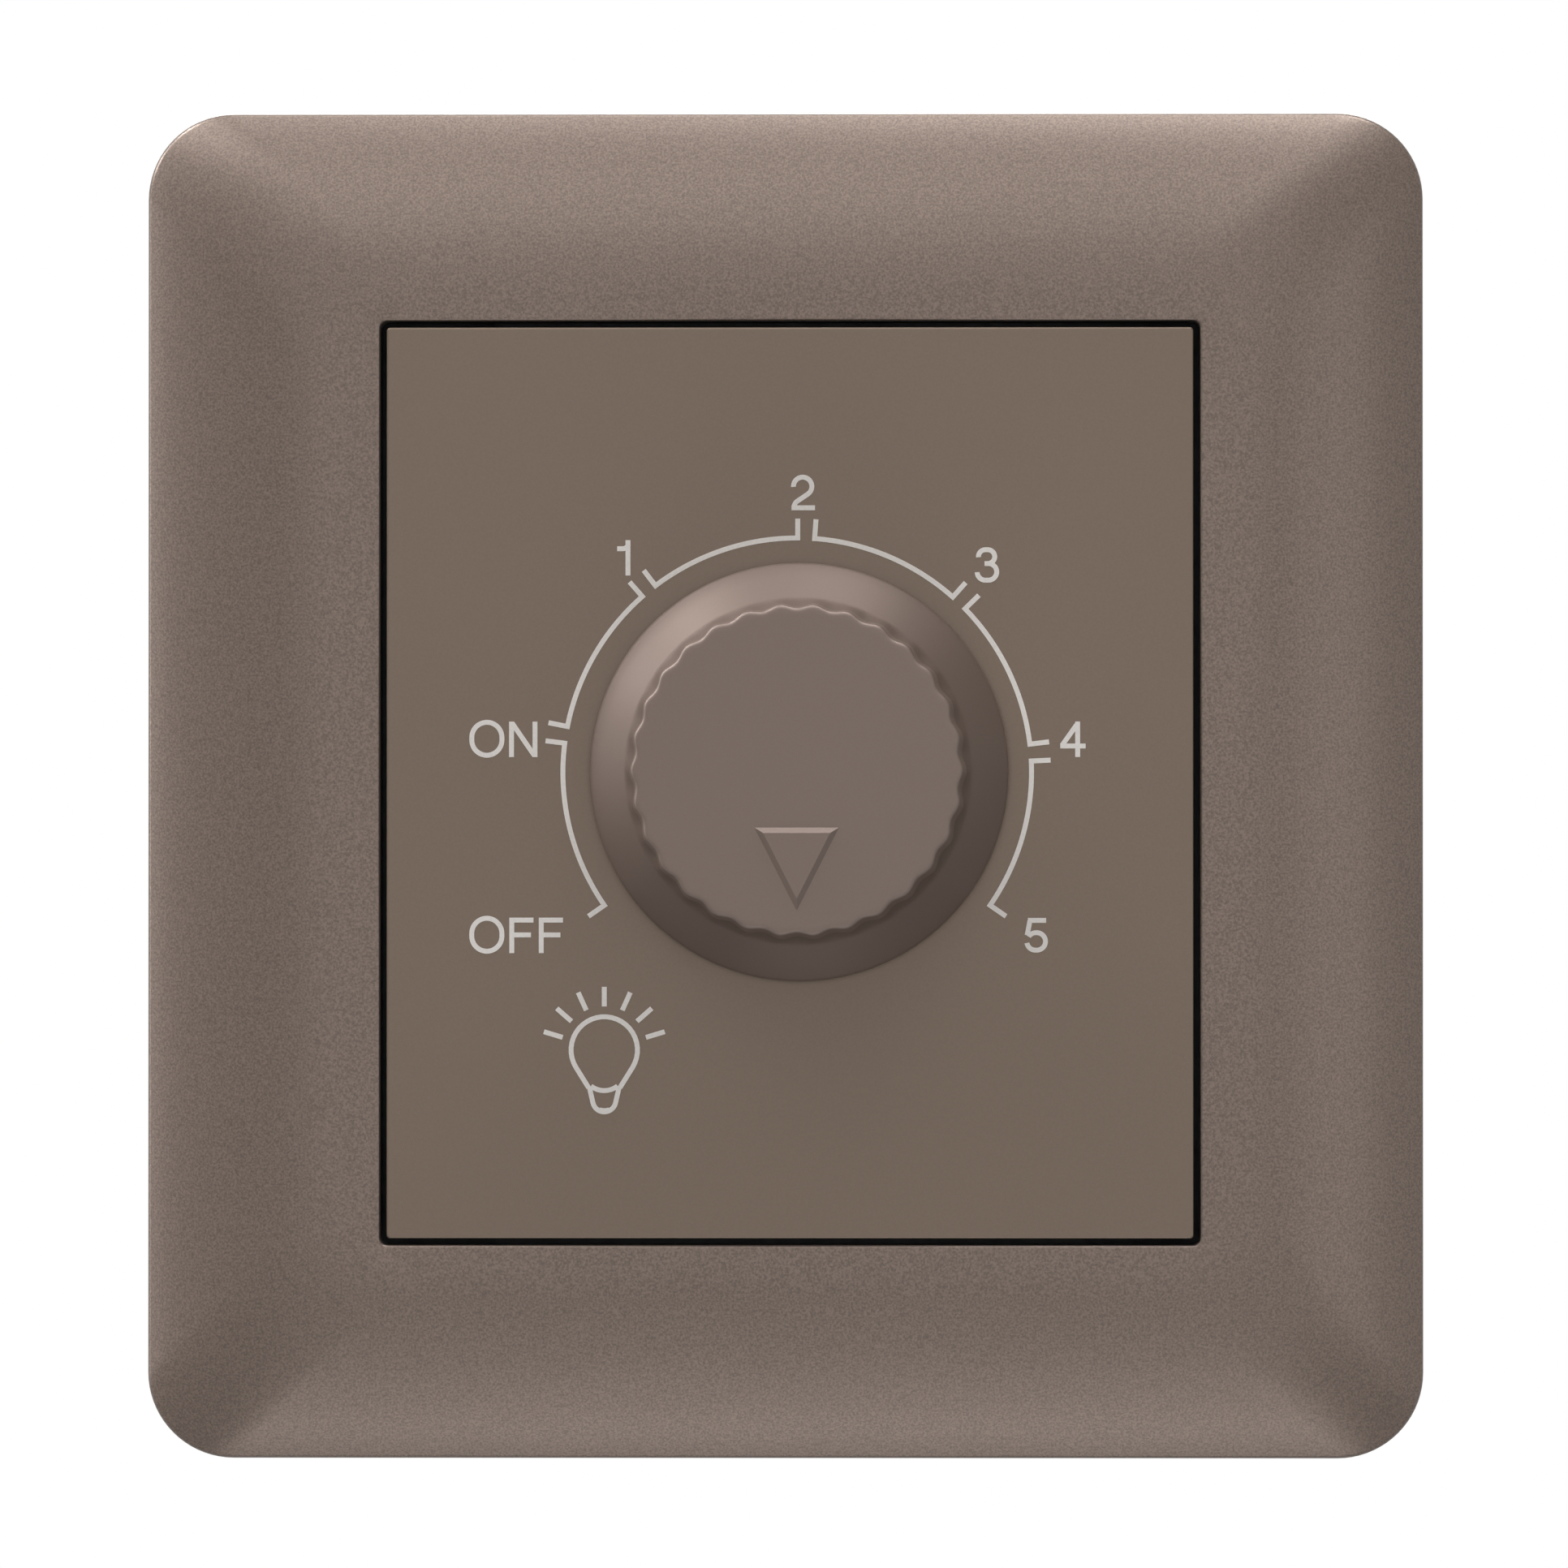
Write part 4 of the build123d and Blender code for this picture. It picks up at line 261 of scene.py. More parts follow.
def shaded(colour, share):
    """Colour times a share, with the opacity that a socket needs."""
    return (*[min(1.0, channel * share) for channel in colour], 1.0)


def node_material(name, colour, metallic, roughness):
    """New material with its main shader, set to a plain finish."""
    material = bpy.data.materials.new(name)
    material.use_nodes = True
    shader = material.node_tree.nodes["Principled BSDF"]
    shader.inputs["Base Color"].default_value = shaded(colour, 1)
    shader.inputs["Metallic"].default_value = metallic
    shader.inputs["Roughness"].default_value = roughness
    return material, shader


def object_noise(tree, size, detail=2.0, stretch=(1, 1, 1)):
    """Noise on the piece's own coordinates, with features of about a size in metres."""
    place = tree.nodes.new("ShaderNodeTexCoord")
    mapping = tree.nodes.new("ShaderNodeMapping")
    mapping.inputs["Scale"].default_value = stretch
    noise = tree.nodes.new("ShaderNodeTexNoise")
    noise.inputs["Scale"].default_value = 1 / size
    noise.inputs["Detail"].default_value = detail
    tree.links.new(place.outputs["Object"], mapping.inputs["Vector"])
    tree.links.new(mapping.outputs["Vector"], noise.inputs["Vector"])
    return noise.outputs["Fac"]


def ranged(tree, value, low, high, start=0.3, end=0.7):
    """Maps a range of a value, by default the middle of a noise's range, to two limits."""
    node = tree.nodes.new("ShaderNodeMapRange")
    node.inputs["From Min"].default_value = start
    node.inputs["From Max"].default_value = end
    node.inputs["To Min"].default_value = low
    node.inputs["To Max"].default_value = high
    tree.links.new(value, node.inputs["Value"])
    return node.outputs["Result"]


def combined(tree, operation, first, second):
    """Two values put together by a math operation."""
    node = tree.nodes.new("ShaderNodeMath")
    node.operation = operation
    tree.links.new(first, node.inputs[0])
    tree.links.new(second, node.inputs[1])
    return node.outputs["Value"]


def mixed(tree, factor, low, high):
    """Colour between two colours."""
    node = tree.nodes.new("ShaderNodeMix")
    node.data_type = "RGBA"
    node.inputs["A"].default_value = low
    node.inputs["B"].default_value = high
    tree.links.new(factor, node.inputs["Factor"])
    return node.outputs["Result"]


def toned(tree, noise, colour, tint):
    """Colour that a noise takes a little darker and lighter."""
    return mixed(tree, ranged(tree, noise, 0, 1), shaded(colour, 1 - tint), shaded(colour, 1 + tint))


def relief(tree, shader, height, distance):
    """Fine surface relief."""
    bump = tree.nodes.new("ShaderNodeBump")
    bump.inputs["Strength"].default_value = 1.0
    bump.inputs["Distance"].default_value = distance
    tree.links.new(height, bump.inputs["Height"])
    tree.links.new(bump.outputs["Normal"], shader.inputs["Normal"])


def grained(name, colour, grain):
    """Finish whose tone, gloss and relief vary with one grain."""
    material, shader = node_material(name, colour, grain.metallic, grain.roughness)
    tree = material.node_tree
    noise = object_noise(tree, grain.size, stretch=grain.stretch)
    tree.links.new(toned(tree, noise, colour, grain.tint), shader.inputs["Base Color"])
    low = max(LEAST_ROUGHNESS, grain.roughness - ROUGHNESS_SPREAD)
    high = min(1.0, grain.roughness + ROUGHNESS_SPREAD)
    tree.links.new(ranged(tree, noise, low, high), shader.inputs["Roughness"])
    relief(tree, shader, noise, grain.relief)
    return material


def flake_paint(name, colour, paint):
    """Metallic paint: fine flakes over a faint cloudiness, with a relief as fine as the flakes."""
    material, shader = node_material(name, colour, paint.metallic, paint.roughness)
    shader.inputs["Specular IOR Level"].default_value = paint.specular
    tree = material.node_tree
    fine = object_noise(tree, FLAKE_SIZE, detail=FLAKE_DETAIL)
    cloud = ranged(tree, object_noise(tree, CLOUD_SIZE), 0, 1)
    veil = tree.nodes.new("ShaderNodeMix")
    veil.data_type = "RGBA"
    veil.blend_type = "MULTIPLY"
    veil.inputs["Factor"].default_value = 1.0
    tree.links.new(toned(tree, fine, colour, paint.flake), veil.inputs["A"])
    tree.links.new(mixed(tree, cloud, shaded(WHITE, CLOUD_SHADE), shaded(WHITE, 1)), veil.inputs["B"])
    tree.links.new(veil.outputs["Result"], shader.inputs["Base Color"])
    relief(tree, shader, fine, paint.relief)
    return material


def clear_glass():
    """Glass of the fuse tube, with faint waves in it."""
    material, shader = node_material("clear_glass", GLASS_COLOUR, 0.0, GLASS_ROUGHNESS)
    shader.inputs["Transmission Weight"].default_value = 1.0
    shader.inputs["IOR"].default_value = GLASS_IOR
    tree = material.node_tree
    relief(tree, shader, object_noise(tree, GLASS_WAVE), GLASS_RELIEF)
    return material


class DIMMER_OT_finishes(bpy.types.Operator):
    """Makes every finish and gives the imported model's nodes theirs"""

    bl_idname = "dimmer.finishes"
    bl_label = "Finishes"

    def execute(self, context):
        colours = context.scene.dimmer.finishes
        flake_paint("plate_paint", colours.plate, PLATE_PAINT)
        flake_paint("knob_paint", colours.knob, KNOB_PAINT)
        grained("bare_moulding", colours.bare, BARE_MOULDING)
        grained("scale_ink", colours.ink, SCALE_INK)
        made = {
            "bronze_paint": flake_paint("dial_paint", colours.dial, DIAL_PAINT),
            "black_plastic": grained("dark_moulding", colours.black, DARK_MOULDING),
            "grey_plastic": grained("casing_moulding", colours.casing, CASING_MOULDING),
            "block_plastic": grained("block_moulding", colours.block, BLOCK_MOULDING),
            "fuse_glass": clear_glass(),
        }
        for slot, (colour, grain) in INNER_FINISHES.items():
            made[slot] = grained("finish_" + slot, colour, grain)
        for node, piece in frame["nodes"].items():
            for place in piece.material_slots:
                place.material = made[NODE_SLOTS[node]]
        return {"FINISHED"}


# Mesh building


def new_object(name, data):
    """New object in the scene."""
    made = bpy.data.objects.new(name, data)
    bpy.context.scene.collection.objects.link(made)
    return made


def add_piece(name, bm, materials, body):
    """Turns a finished bmesh into a piece that rides on a body."""
    bmesh.ops.recalc_face_normals(bm, faces=bm.faces[:])
    for face in bm.faces:
        face.smooth = True
    for edge in bm.edges:
        edge.smooth = not (edge.is_manifold and edge.calc_face_angle() > SHARP_ANGLE)
    mesh = bpy.data.meshes.new(name)
    bm.to_mesh(mesh)
    bm.free()
    for material in materials:
        mesh.materials.append(bpy.data.materials[material])
    piece = new_object(name, mesh)
    even = piece.modifiers.new("Even shading", "WEIGHTED_NORMAL")
    even.keep_sharp = True
    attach(piece, body)
    return piece


def made_of(items, kind):
    """The vertices, edges or faces among an operator's results."""
    return [item for item in items if isinstance(item, kind)]


def carried(bm, edge, way):
    """Draws an edge out into a face, and gives the new edge."""
    made = bmesh.ops.extrude_edge_only(bm, edges=[edge])["geom"]
    bmesh.ops.translate(bm, verts=made_of(made, bmesh.types.BMVert), vec=way)
    return made_of(made, bmesh.types.BMEdge)[0]


def swung(bm, edge, centre, angle, steps):
    """Swings an edge about a centre, to the left as the viewer sees it, and gives the new edge."""
    made = bmesh.ops.spin(
        bm,
        geom=[edge, *edge.verts],
        cent=centre,
        axis=TOWARDS_VIEWER,
        dvec=(0, 0, 0),
        angle=angle,
        steps=steps,
        use_merge=False,
    )
    return made_of(made["geom_last"], bmesh.types.BMEdge)[0]


def corner_centre(outline, side_x, side_z):
    """Centre of one of an outline's corner arcs."""
    return Vector(
        (
            outline.x + side_x * (outline.half_x - outline.radius),
            -outline.depth,
            outline.z + side_z * (outline.half_z - outline.radius),
        )
    )


def first_outline(bm, outline, steps):
    """Closed loop of edges: a rectangle whose corners are rounded."""
    size = Matrix.Diagonal((outline.half_x, outline.half_z, 1, 1))
    place = Matrix.Translation((outline.x, -outline.depth, outline.z)) @ FACING @ size
    square = bmesh.ops.create_grid(bm, x_segments=1, y_segments=1, size=1.0, matrix=place)
    bmesh.ops.bevel(
        bm,
        geom=square["verts"],
        offset=outline.radius,
        offset_type="OFFSET",
        segments=steps,
        profile=0.5,
        affect="VERTICES",
        material=-1,
    )
    bmesh.ops.delete(bm, geom=bm.faces[:], context="FACES_ONLY")
    return bm.edges[:]


def next_outline(bm, edges, before, after):
    """Carries a loop on to the next outline: each corner arc moves and grows as one."""
    made = bmesh.ops.extrude_edge_only(bm, edges=edges)["geom"]
    corners = {}
    for vert in made_of(made, bmesh.types.BMVert):
        side = (1 if vert.co.x > before.x else -1, 1 if vert.co.z > before.z else -1)
        corners.setdefault(side, []).append(vert)
    for side, verts in corners.items():
        grow = Matrix.Scale(after.radius / before.radius, 4)
        carry = Matrix.Translation(corner_centre(after, *side))
        carry = carry @ grow @ Matrix.Translation(-corner_centre(before, *side))
        bmesh.ops.transform(bm, matrix=carry, verts=verts)
    return made_of(made, bmesh.types.BMEdge), made_of(made, bmesh.types.BMFace)


def add_block(bm, low, high, bevel):
    """Box between two corners, with its edges bevelled."""
    low, high = Vector(low), Vector(high)
    place = Matrix.Translation((low + high) / 2) @ Matrix.Diagonal((*(high - low), 1))
    made = bmesh.ops.create_cube(bm, size=1.0, matrix=place)
    edges = list({edge for vert in made["verts"] for edge in vert.link_edges})
    bmesh.ops.bevel(
        bm, geom=edges, offset=bevel, segments=2, profile=0.5, affect="EDGES", material=-1
    )


# The cover plate's two finishes, in the order of its materials
PAINTED = 0
BARE = 1


class DIMMER_OT_cover_plate(bpy.types.Operator):
    """Builds the cover plate: a rolled border round a window, hollow behind"""

    bl_idname = "dimmer.cover_plate"
    bl_label = "Cover plate"

    def outlines(self, sizes):
        """The plate's section: from the rear rim over the border to the window, and back inside."""
        half_x, half_z = PLATE_HIGH.x, PLATE_HIGH.z
        window_x = (DIAL_LOW.x + DIAL_HIGH.x) / 2
        window_z = (DIAL_LOW.z + DIAL_HIGH.z) / 2
        window_half_x = (DIAL_HIGH.x - DIAL_LOW.x) / 2 + sizes.window_gap
        window_half_z = (DIAL_HIGH.z - DIAL_LOW.z) / 2 + sizes.window_gap
        border_x = half_x - window_half_x - abs(window_x)
        border_z = half_z - window_half_z - abs(window_z)
        run = min(border_x, border_z) - sizes.margin
        radius = (run**2 + sizes.drop**2) / (2 * sizes.drop)
        centre_depth = PLATE_DEPTH - radius
        inner_corner = sizes.corner - sizes.wall

        def shell(inset, depth, corner):
            """Outline that runs inside the plate's own."""
            return Outline(0, 0, half_x - inset, half_z - inset, corner, depth)

        def window(grow, depth):
            """Outline that runs round the window."""
            corner = sizes.window_corner + grow
            return Outline(
                window_x, window_z, window_half_x + grow, window_half_z + grow, corner, depth
            )

        edge = sizes.edge_round
        edge_depth = centre_depth + math.sqrt((radius - edge) ** 2 - (run - edge) ** 2)
        edge_tilt = math.asin((run - edge) / (radius - edge))
        front = [shell(0, sizes.rim_break, sizes.corner)]
        for step in range(EDGE_STEPS):
            tilt = math.pi / 2 + (edge_tilt - math.pi / 2) * step / EDGE_STEPS
            inset = edge - edge * math.sin(tilt)
            front.append(shell(inset, edge_depth + edge * math.cos(tilt), sizes.corner))
        for step in range(sizes.arc_steps + 1):
            tilt = edge_tilt * (1 - step / sizes.arc_steps)
            inset = run - radius * math.sin(tilt)
            front.append(shell(inset, centre_depth + radius * math.cos(tilt), sizes.corner))
        for step in range(ROUND_STEPS + 1):
            turn = math.pi / 2 * step / ROUND_STEPS
            grow = sizes.window_round * (1 - math.sin(turn))
            front.append(window(grow, PLATE_DEPTH - sizes.window_round * (1 - math.cos(turn))))
        collar_depth = PLATE_DEPTH - sizes.wall - sizes.collar_height
        rear = [
            window(0, collar_depth),
            window(sizes.collar_wall, collar_depth),
            window(sizes.collar_wall, PLATE_DEPTH - sizes.wall),
        ]
        inner_radius = radius - sizes.wall
        inner_tilt = math.asin((run - sizes.wall) / inner_radius)
        for step in range(sizes.arc_steps + 1):
            tilt = inner_tilt * step / sizes.arc_steps
            inset = run - inner_radius * math.sin(tilt)
            rear.append(shell(inset, centre_depth + inner_radius * math.cos(tilt), inner_corner))
        rear.append(shell(sizes.wall, 0, inner_corner))
        rear.append(shell(sizes.rim_break, 0, sizes.corner - sizes.rim_break))
        return front, rear

    def catches(self, bm, sizes):
        """Snap catches behind the left and right borders, each a web and the lip on its free end."""
        web = (sizes.catch_web, sizes.catch_root)
        lip = (sizes.catch_inner, sizes.catch_front)
        for side_x in SIDES:
            for side_z in SIDES:
                for inner, top in (web, lip):
                    reach = sorted((side_x * inner, side_x * sizes.catch_outer))
                    middle = side_z * sizes.catch_spacing / 2
                    low = (reach[0], -top, middle - sizes.catch_length / 2)
                    high = (reach[1], -sizes.catch_rear, middle + sizes.catch_length / 2)
                    add_block(bm, low, high, sizes.rim_break)

    def execute(self, context):
        sizes = context.scene.dimmer.plate
        front, rear = self.outlines(sizes)
        bm = bmesh.new()
        start = edges = first_outline(bm, front[0], sizes.corner_steps)
        before = front[0]
        for outline in front[1:] + rear:
            edges, faces = next_outline(bm, edges, before, outline)
            for face in faces:
                face.material_index = BARE if outline in rear else PAINTED
            before = outline
        bmesh.ops.bridge_loops(bm, edges=start + edges)
        self.catches(bm, sizes)
        piece = add_piece("cover_plate", bm, ["plate_paint", "bare_moulding"], "housing")
        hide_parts("front_plate")
        return {"FINISHED"}


# Where the knob's rings lie along the round at the skirt's foot, and up its slope
BEND_SHARES = (0.25, 0.5, 0.75, 1)
SLOPE_SHARES = (0.3, 0.6, 0.85)


class DIMMER_OT_knob(bpy.types.Operator):
    """Builds the knob: a sloping skirt, a fluted grip and a raised pointer"""

    bl_idname = "dimmer.knob"
    bl_label = "Knob"

    def sections(self, sizes):
        """Radius and depth of the rings: foot, skirt, where the grip meets the skirt, grip and inside."""
        radius = (KNOB_HIGH.x - KNOB_LOW.x) / 2
        base = -KNOB_HIGH.y
        top = -KNOB_LOW.y - sizes.pointer_height
        slope = math.tan(sizes.skirt_angle)
        foot = base + sizes.skirt_edge
        bend = sizes.skirt_round
        foot_break = bend / 3
        skirt = [(radius, base + foot_break), (radius, foot - bend)]
        for share in BEND_SHARES:
            lean = bend * share**2
            depth = foot - bend * (1 - share) ** 2 + lean * math.sin(sizes.skirt_angle)
            skirt.append((radius - lean * math.cos(sizes.skirt_angle), depth))
        upper = top - sizes.grip_round
        draft = math.tan(sizes.grip_draft)
        meeting = (sizes.grip_radius + draft * (upper - foot - slope * radius)) / (1 - draft * slope)
        for share in SLOPE_SHARES:
            ring = radius + (meeting + sizes.flute_depth / 2 - radius) * share
            skirt.append((ring, foot + (radius - ring) * slope))
        joint = (meeting, foot + (radius - meeting) * slope)
        grip = []
        for step in range(ROUND_STEPS + 1):
            turn = math.pi / 2 * step / ROUND_STEPS
            ring = sizes.grip_radius - sizes.grip_round * (1 - math.cos(turn))
            grip.append((ring, upper + sizes.grip_round * math.sin(turn)))
        cavity = radius - sizes.wall
        neck = sizes.grip_radius - sizes.flute_depth - sizes.wall
        ceiling = top - sizes.top
        inside = [
            (cavity, base),
            (cavity, base + sizes.skirt_edge / 2),
            (neck, base + sizes.skirt_edge / 2 + (cavity - neck) * slope),
            (neck, ceiling),
            (sizes.boss, ceiling),
            (sizes.boss, base + sizes.boss_recess),
            (sizes.socket, base + sizes.boss_recess),
            (sizes.socket, ceiling),
        ]
        return (radius - foot_break, base), skirt, joint, grip, inside

    def ring(self, bm, edges, places):
        """Carries a ring of edges on; places gives radius and depth for each step across a flute."""
        made = bmesh.ops.extrude_edge_only(bm, edges=edges)["geom"]
        groups = {}
        pitch = 2 * math.pi / len(edges)
        for vert in made_of(made, bmesh.types.BMVert):
            turn = math.atan2(vert.co.x - KNOB_AXIS.x, KNOB_AXIS.z - vert.co.z)
            groups.setdefault(round(turn / pitch) % len(places), []).append(vert)
        for step, verts in groups.items():
            radius, depth = places[step]
            now = Vector((verts[0].co.x - KNOB_AXIS.x, verts[0].co.z - KNOB_AXIS.z)).length
            carry = Matrix.Translation((KNOB_AXIS.x, -depth, KNOB_AXIS.z))
            carry = carry @ Matrix.Diagonal((radius / now, 1, radius / now, 1))
            carry = carry @ Matrix.Translation((-KNOB_AXIS.x, -verts[0].co.y, -KNOB_AXIS.z))
            bmesh.ops.transform(bm, matrix=carry, verts=verts)
        return made_of(made, bmesh.types.BMEdge)

    def pointer(self, bm, sizes, depth):
        """Raised triangle on the knob's top."""
        upper = KNOB_AXIS.z - sizes.pointer_start
        half = sizes.pointer_width / 2
        corners = [(-half, upper), (0, upper - sizes.pointer_length), (half, upper)]
        root = depth - sizes.pointer_height
        face = bm.faces.new([bm.verts.new((KNOB_AXIS.x + x, -root, z)) for x, z in corners])
        raised = bmesh.ops.extrude_face_region(bm, geom=[face])["geom"]
        bmesh.ops.translate(
            bm, verts=made_of(raised, bmesh.types.BMVert), vec=TOWARDS_VIEWER * sizes.pointer_height
        )
        bm.normal_update()
        bmesh.ops.inset_region(
            bm,
            faces=made_of(raised, bmesh.types.BMFace),
            thickness=sizes.pointer_slope,
            depth=sizes.pointer_height,
            use_even_offset=True,
        )

    def execute(self, context):
        sizes = context.scene.dimmer.knob
        wave = [
            -math.cos(2 * math.pi * step / sizes.flute_steps) * sizes.flute_depth / 2
            for step in range(sizes.flute_steps)
        ]
        foot, skirt, joint, grip, inside = self.sections(sizes)
        slope = math.tan(sizes.skirt_angle)
        crown, top = grip[-1]
        inner = crown - sizes.flute_depth
        fluted = [[(joint[0] + rise, joint[1] - rise * slope) for rise in wave]]
        fluted += [[(radius + rise, depth) for rise in wave] for radius, depth in grip]
        fluted.append([(inner + rise / 2, top) for rise in wave])
        outer_rings = [[place] for place in skirt] + fluted + [[(inner - sizes.flute_depth, top)]]
        inner_rings = [[place] for place in inside]
        bm = bmesh.new()
        place = Matrix.Translation((KNOB_AXIS.x, -foot[1], KNOB_AXIS.z)) @ FACING
        steps = sizes.flutes * sizes.flute_steps
        bmesh.ops.create_circle(bm, cap_ends=False, segments=steps, radius=foot[0], matrix=place)
        start = bm.edges[:]
        for rings in (outer_rings, inner_rings):
            edges = start
            for places in rings:
                edges = self.ring(bm, edges, places)
            bmesh.ops.edgeloop_fill(bm, edges=edges)
        self.pointer(bm, sizes, top)
        piece = add_piece("fluted_knob", bm, ["knob_paint"], "rotor")
        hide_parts("knob")
        return {"FINISHED"}


# Printing

# Each stroke of a letter lies this much above the one before, in millimetres, so that none shares a face
LAYER = 0.002

# Points nearer than this are one, in metres
MERGE_DISTANCE = 0.001 * MM

# Degrees across a face of a bent stroke, and the fewest faces of a bend and of a scale's arc
BEND_STEP = 9
BEND_FACES = 3
ARC_FACES = 8

# Marks and rays, counted from the middle one
MARK_STEPS = range(-2, 3)
RAY_STEPS = range(-3, 4)


def pen_stroke(bm, start, heading, moves, width, layer):
    """Drags a short edge along a path: a move is a length, or a radius and a turn to the left in degrees."""
    turn = math.radians(heading)
    across = Vector((-math.sin(turn), 0, math.cos(turn))) * width / 2
    middle = Vector((start[0], 0, start[1])) + TOWARDS_VIEWER * LAYER * layer
    edge = bm.edges.new((bm.verts.new(middle + across), bm.verts.new(middle - across)))
    for move in moves:
        ahead = Vector((math.cos(turn), 0, math.sin(turn)))
        left = Vector((-math.sin(turn), 0, math.cos(turn)))
        if len(move) == 1:
            edge = carried(bm, edge, ahead * move[0])
            middle = middle + ahead * move[0]
            continue
        radius, degrees = move
        centre = middle + left * math.copysign(radius, degrees)
        swing = math.radians(degrees)
        edge = swung(bm, edge, centre, swing, max(BEND_FACES, round(abs(degrees) / BEND_STEP)))
        middle = centre + Matrix.Rotation(swing, 3, TOWARDS_VIEWER) @ (middle - centre)
        turn += swing


def to_dial(bm, right, up):
    """Takes a drawing in millimetres to its place from the knob's axis."""
    place = Matrix.Translation((KNOB_AXIS.x + right * MM, 0, KNOB_AXIS.z + up * MM))
    bmesh.ops.transform(bm, matrix=place @ Matrix.Scale(MM, 4), verts=bm.verts[:])


def print_piece(name, bm, sizes):
    """Gives flat print its thickness and lays it on the dial plate."""
    bmesh.ops.remove_doubles(bm, verts=bm.verts[:], dist=MERGE_DISTANCE)
    bmesh.ops.recalc_face_normals(bm, faces=bm.faces[:])
    bmesh.ops.translate(bm, verts=bm.verts[:], vec=(0, DIAL_LOW.y + sizes.sink, 0))
    raised = bmesh.ops.extrude_face_region(bm, geom=bm.faces[:])["geom"]
    lift = TOWARDS_VIEWER * (sizes.thickness + sizes.sink)
    bmesh.ops.translate(bm, verts=made_of(raised, bmesh.types.BMVert), vec=lift)
    add_piece(name, bm, ["scale_ink"], "housing")


class DIMMER_OT_scale(bpy.types.Operator):
    """Prints the arcs of the scale, each with a tick at both ends"""

    bl_idname = "dimmer.scale"
    bl_label = "Scale"

    def arc(self, bm, sizes, start, end):
        """One arc between two angles clockwise from the top, with its ticks."""
        centre = Vector((KNOB_AXIS.x + sizes.shift_x, 0, KNOB_AXIS.z))
        half = sizes.stroke / 2
        cell = sizes.stroke / sizes.arc_radius
        aim = Vector((math.sin(start), 0, math.cos(start)))
        ends = [bm.verts.new(centre + aim * (sizes.arc_radius + reach)) for reach in (-half, half)]
        edge = bm.edges.new(ends)
        steps = max(ARC_FACES, round(math.degrees(end - start)))
        for angle, count in ((cell, 1), (end - start - 2 * cell, steps), (cell, 1)):
            edge = swung(bm, edge, centre, -angle, count)
        rims = []
        for rim in bm.edges:
            reach = min((vert.co - centre).length for vert in rim.verts)
            middle = (rim.verts[0].co + rim.verts[1].co) / 2 - centre
            angle = math.atan2(middle.x, middle.z)
            near = min(abs(angle - start), abs(angle - end)) < cell
            if rim.is_boundary and reach > sizes.arc_radius and near:
                rims.append((rim, middle.normalized()))
        for rim, outwards in rims:
            carried(bm, rim, outwards * (sizes.tick - half))

    def execute(self, context):
        sizes = context.scene.dimmer.printing
        cell = sizes.stroke / sizes.arc_radius
        marks = [sizes.gap_turn + step * sizes.gap_pitch for step in MARK_STEPS]
        starts = [-sizes.end_angle - cell / 2] + [mark + sizes.gap_half - cell / 2 for mark in marks]
        ends = [mark - sizes.gap_half + cell / 2 for mark in marks] + [sizes.end_angle + cell / 2]
        bm = bmesh.new()
        for start, end in zip(starts, ends):
            self.arc(bm, sizes, start, end)
        print_piece("scale_arcs", bm, sizes)
        return {"FINISHED"}


# Strokes of each letter in millimetres from its lower left: start, heading in degrees, and moves
GLYPHS = {
    "1": [((0.727, 0), 90, [(2.38,)]), ((0, 1.80), 0, [(0.36,), (0.42, 72)])],
    "2": [
        ((0.191, 1.568), 93, [(0.62, -239), (0.85,), (0.49, 50)]),
        ((0.06, 0.165), 0, [(1.58,)]),
    ],
    "3": [
        ((0.204, 1.71), 95, [(0.465, -95), (0.16,), (0.465, -180), (0.22,)]),
        ((0.66, 1.285), 0, [(0.21,), (0.558, -180), (0.2,), (0.558, -88)]),
    ],
    "4": [
        ((1.165, 0), 90, [(2.38,)]),
        ((0, 0.738), 0, [(1.70,)]),
        ((0.12, 0.78), 54.7, [(1.74,)]),
    ],
    "5": [
        ((0.22, 2.215), 0, [(1.23,)]),
        ((0.36, 2.2), -100.7, [(1.0,)]),
        ((0.273, 1.124), 57, [(0.588, -57), (0.05,), (0.588, -180), (0.08,), (0.588, -80)]),
    ],
    "O": [((0.138, 1.135), 90, [(0.19,), (1.012, -180), (0.19,), (1.012, -180)])],
    "N": [
        ((0.165, 0), 90, [(2.38,)]),
        ((1.745, 0), 90, [(2.38,)]),
        ((0.21, 2.28), -55.6, [(2.64,)]),
    ],
    "F": [
        ((0.165, 0), 90, [(2.38,)]),
        ((0.165, 2.215), 0, [(1.46,)]),
        ((0.165, 1.22), 0, [(1.29,)]),
    ],
}

# Where each letter's lower left lies from the knob's axis, in millimetres
LETTERS = [
    ("1", -12.24, 13.21),
    ("2", -0.59, 17.59),
    ("3", 11.82, 12.72),
    ("4", 17.51, 1.02),
    ("5", 15.11, -12.16),
    ("O", -22.14, 1.02),
    ("N", -19.50, 1.02),
    ("O", -22.14, -12.14),
    ("F", -19.48, -12.14),
    ("F", -17.50, -12.14),
]


class DIMMER_OT_lettering(bpy.types.Operator):
    """Prints the numbers and the words for on and off"""

    bl_idname = "dimmer.lettering"
    bl_label = "Lettering"

    def execute(self, context):
        sizes = context.scene.dimmer.printing
        bm = bmesh.new()
        for letter, left, foot in LETTERS:
            drawn = bmesh.new()
            for layer, stroke in enumerate(GLYPHS[letter]):
                pen_stroke(drawn, *stroke, sizes.stroke / MM, layer)
            to_dial(drawn, left, foot)
            drawn_mesh = bpy.data.meshes.new("letter")
            drawn.to_mesh(drawn_mesh)
            drawn.free()
            bm.from_mesh(drawn_mesh)
            bpy.data.meshes.remove(drawn_mesh)
        print_piece("lettering", bm, sizes)
        return {"FINISHED"}


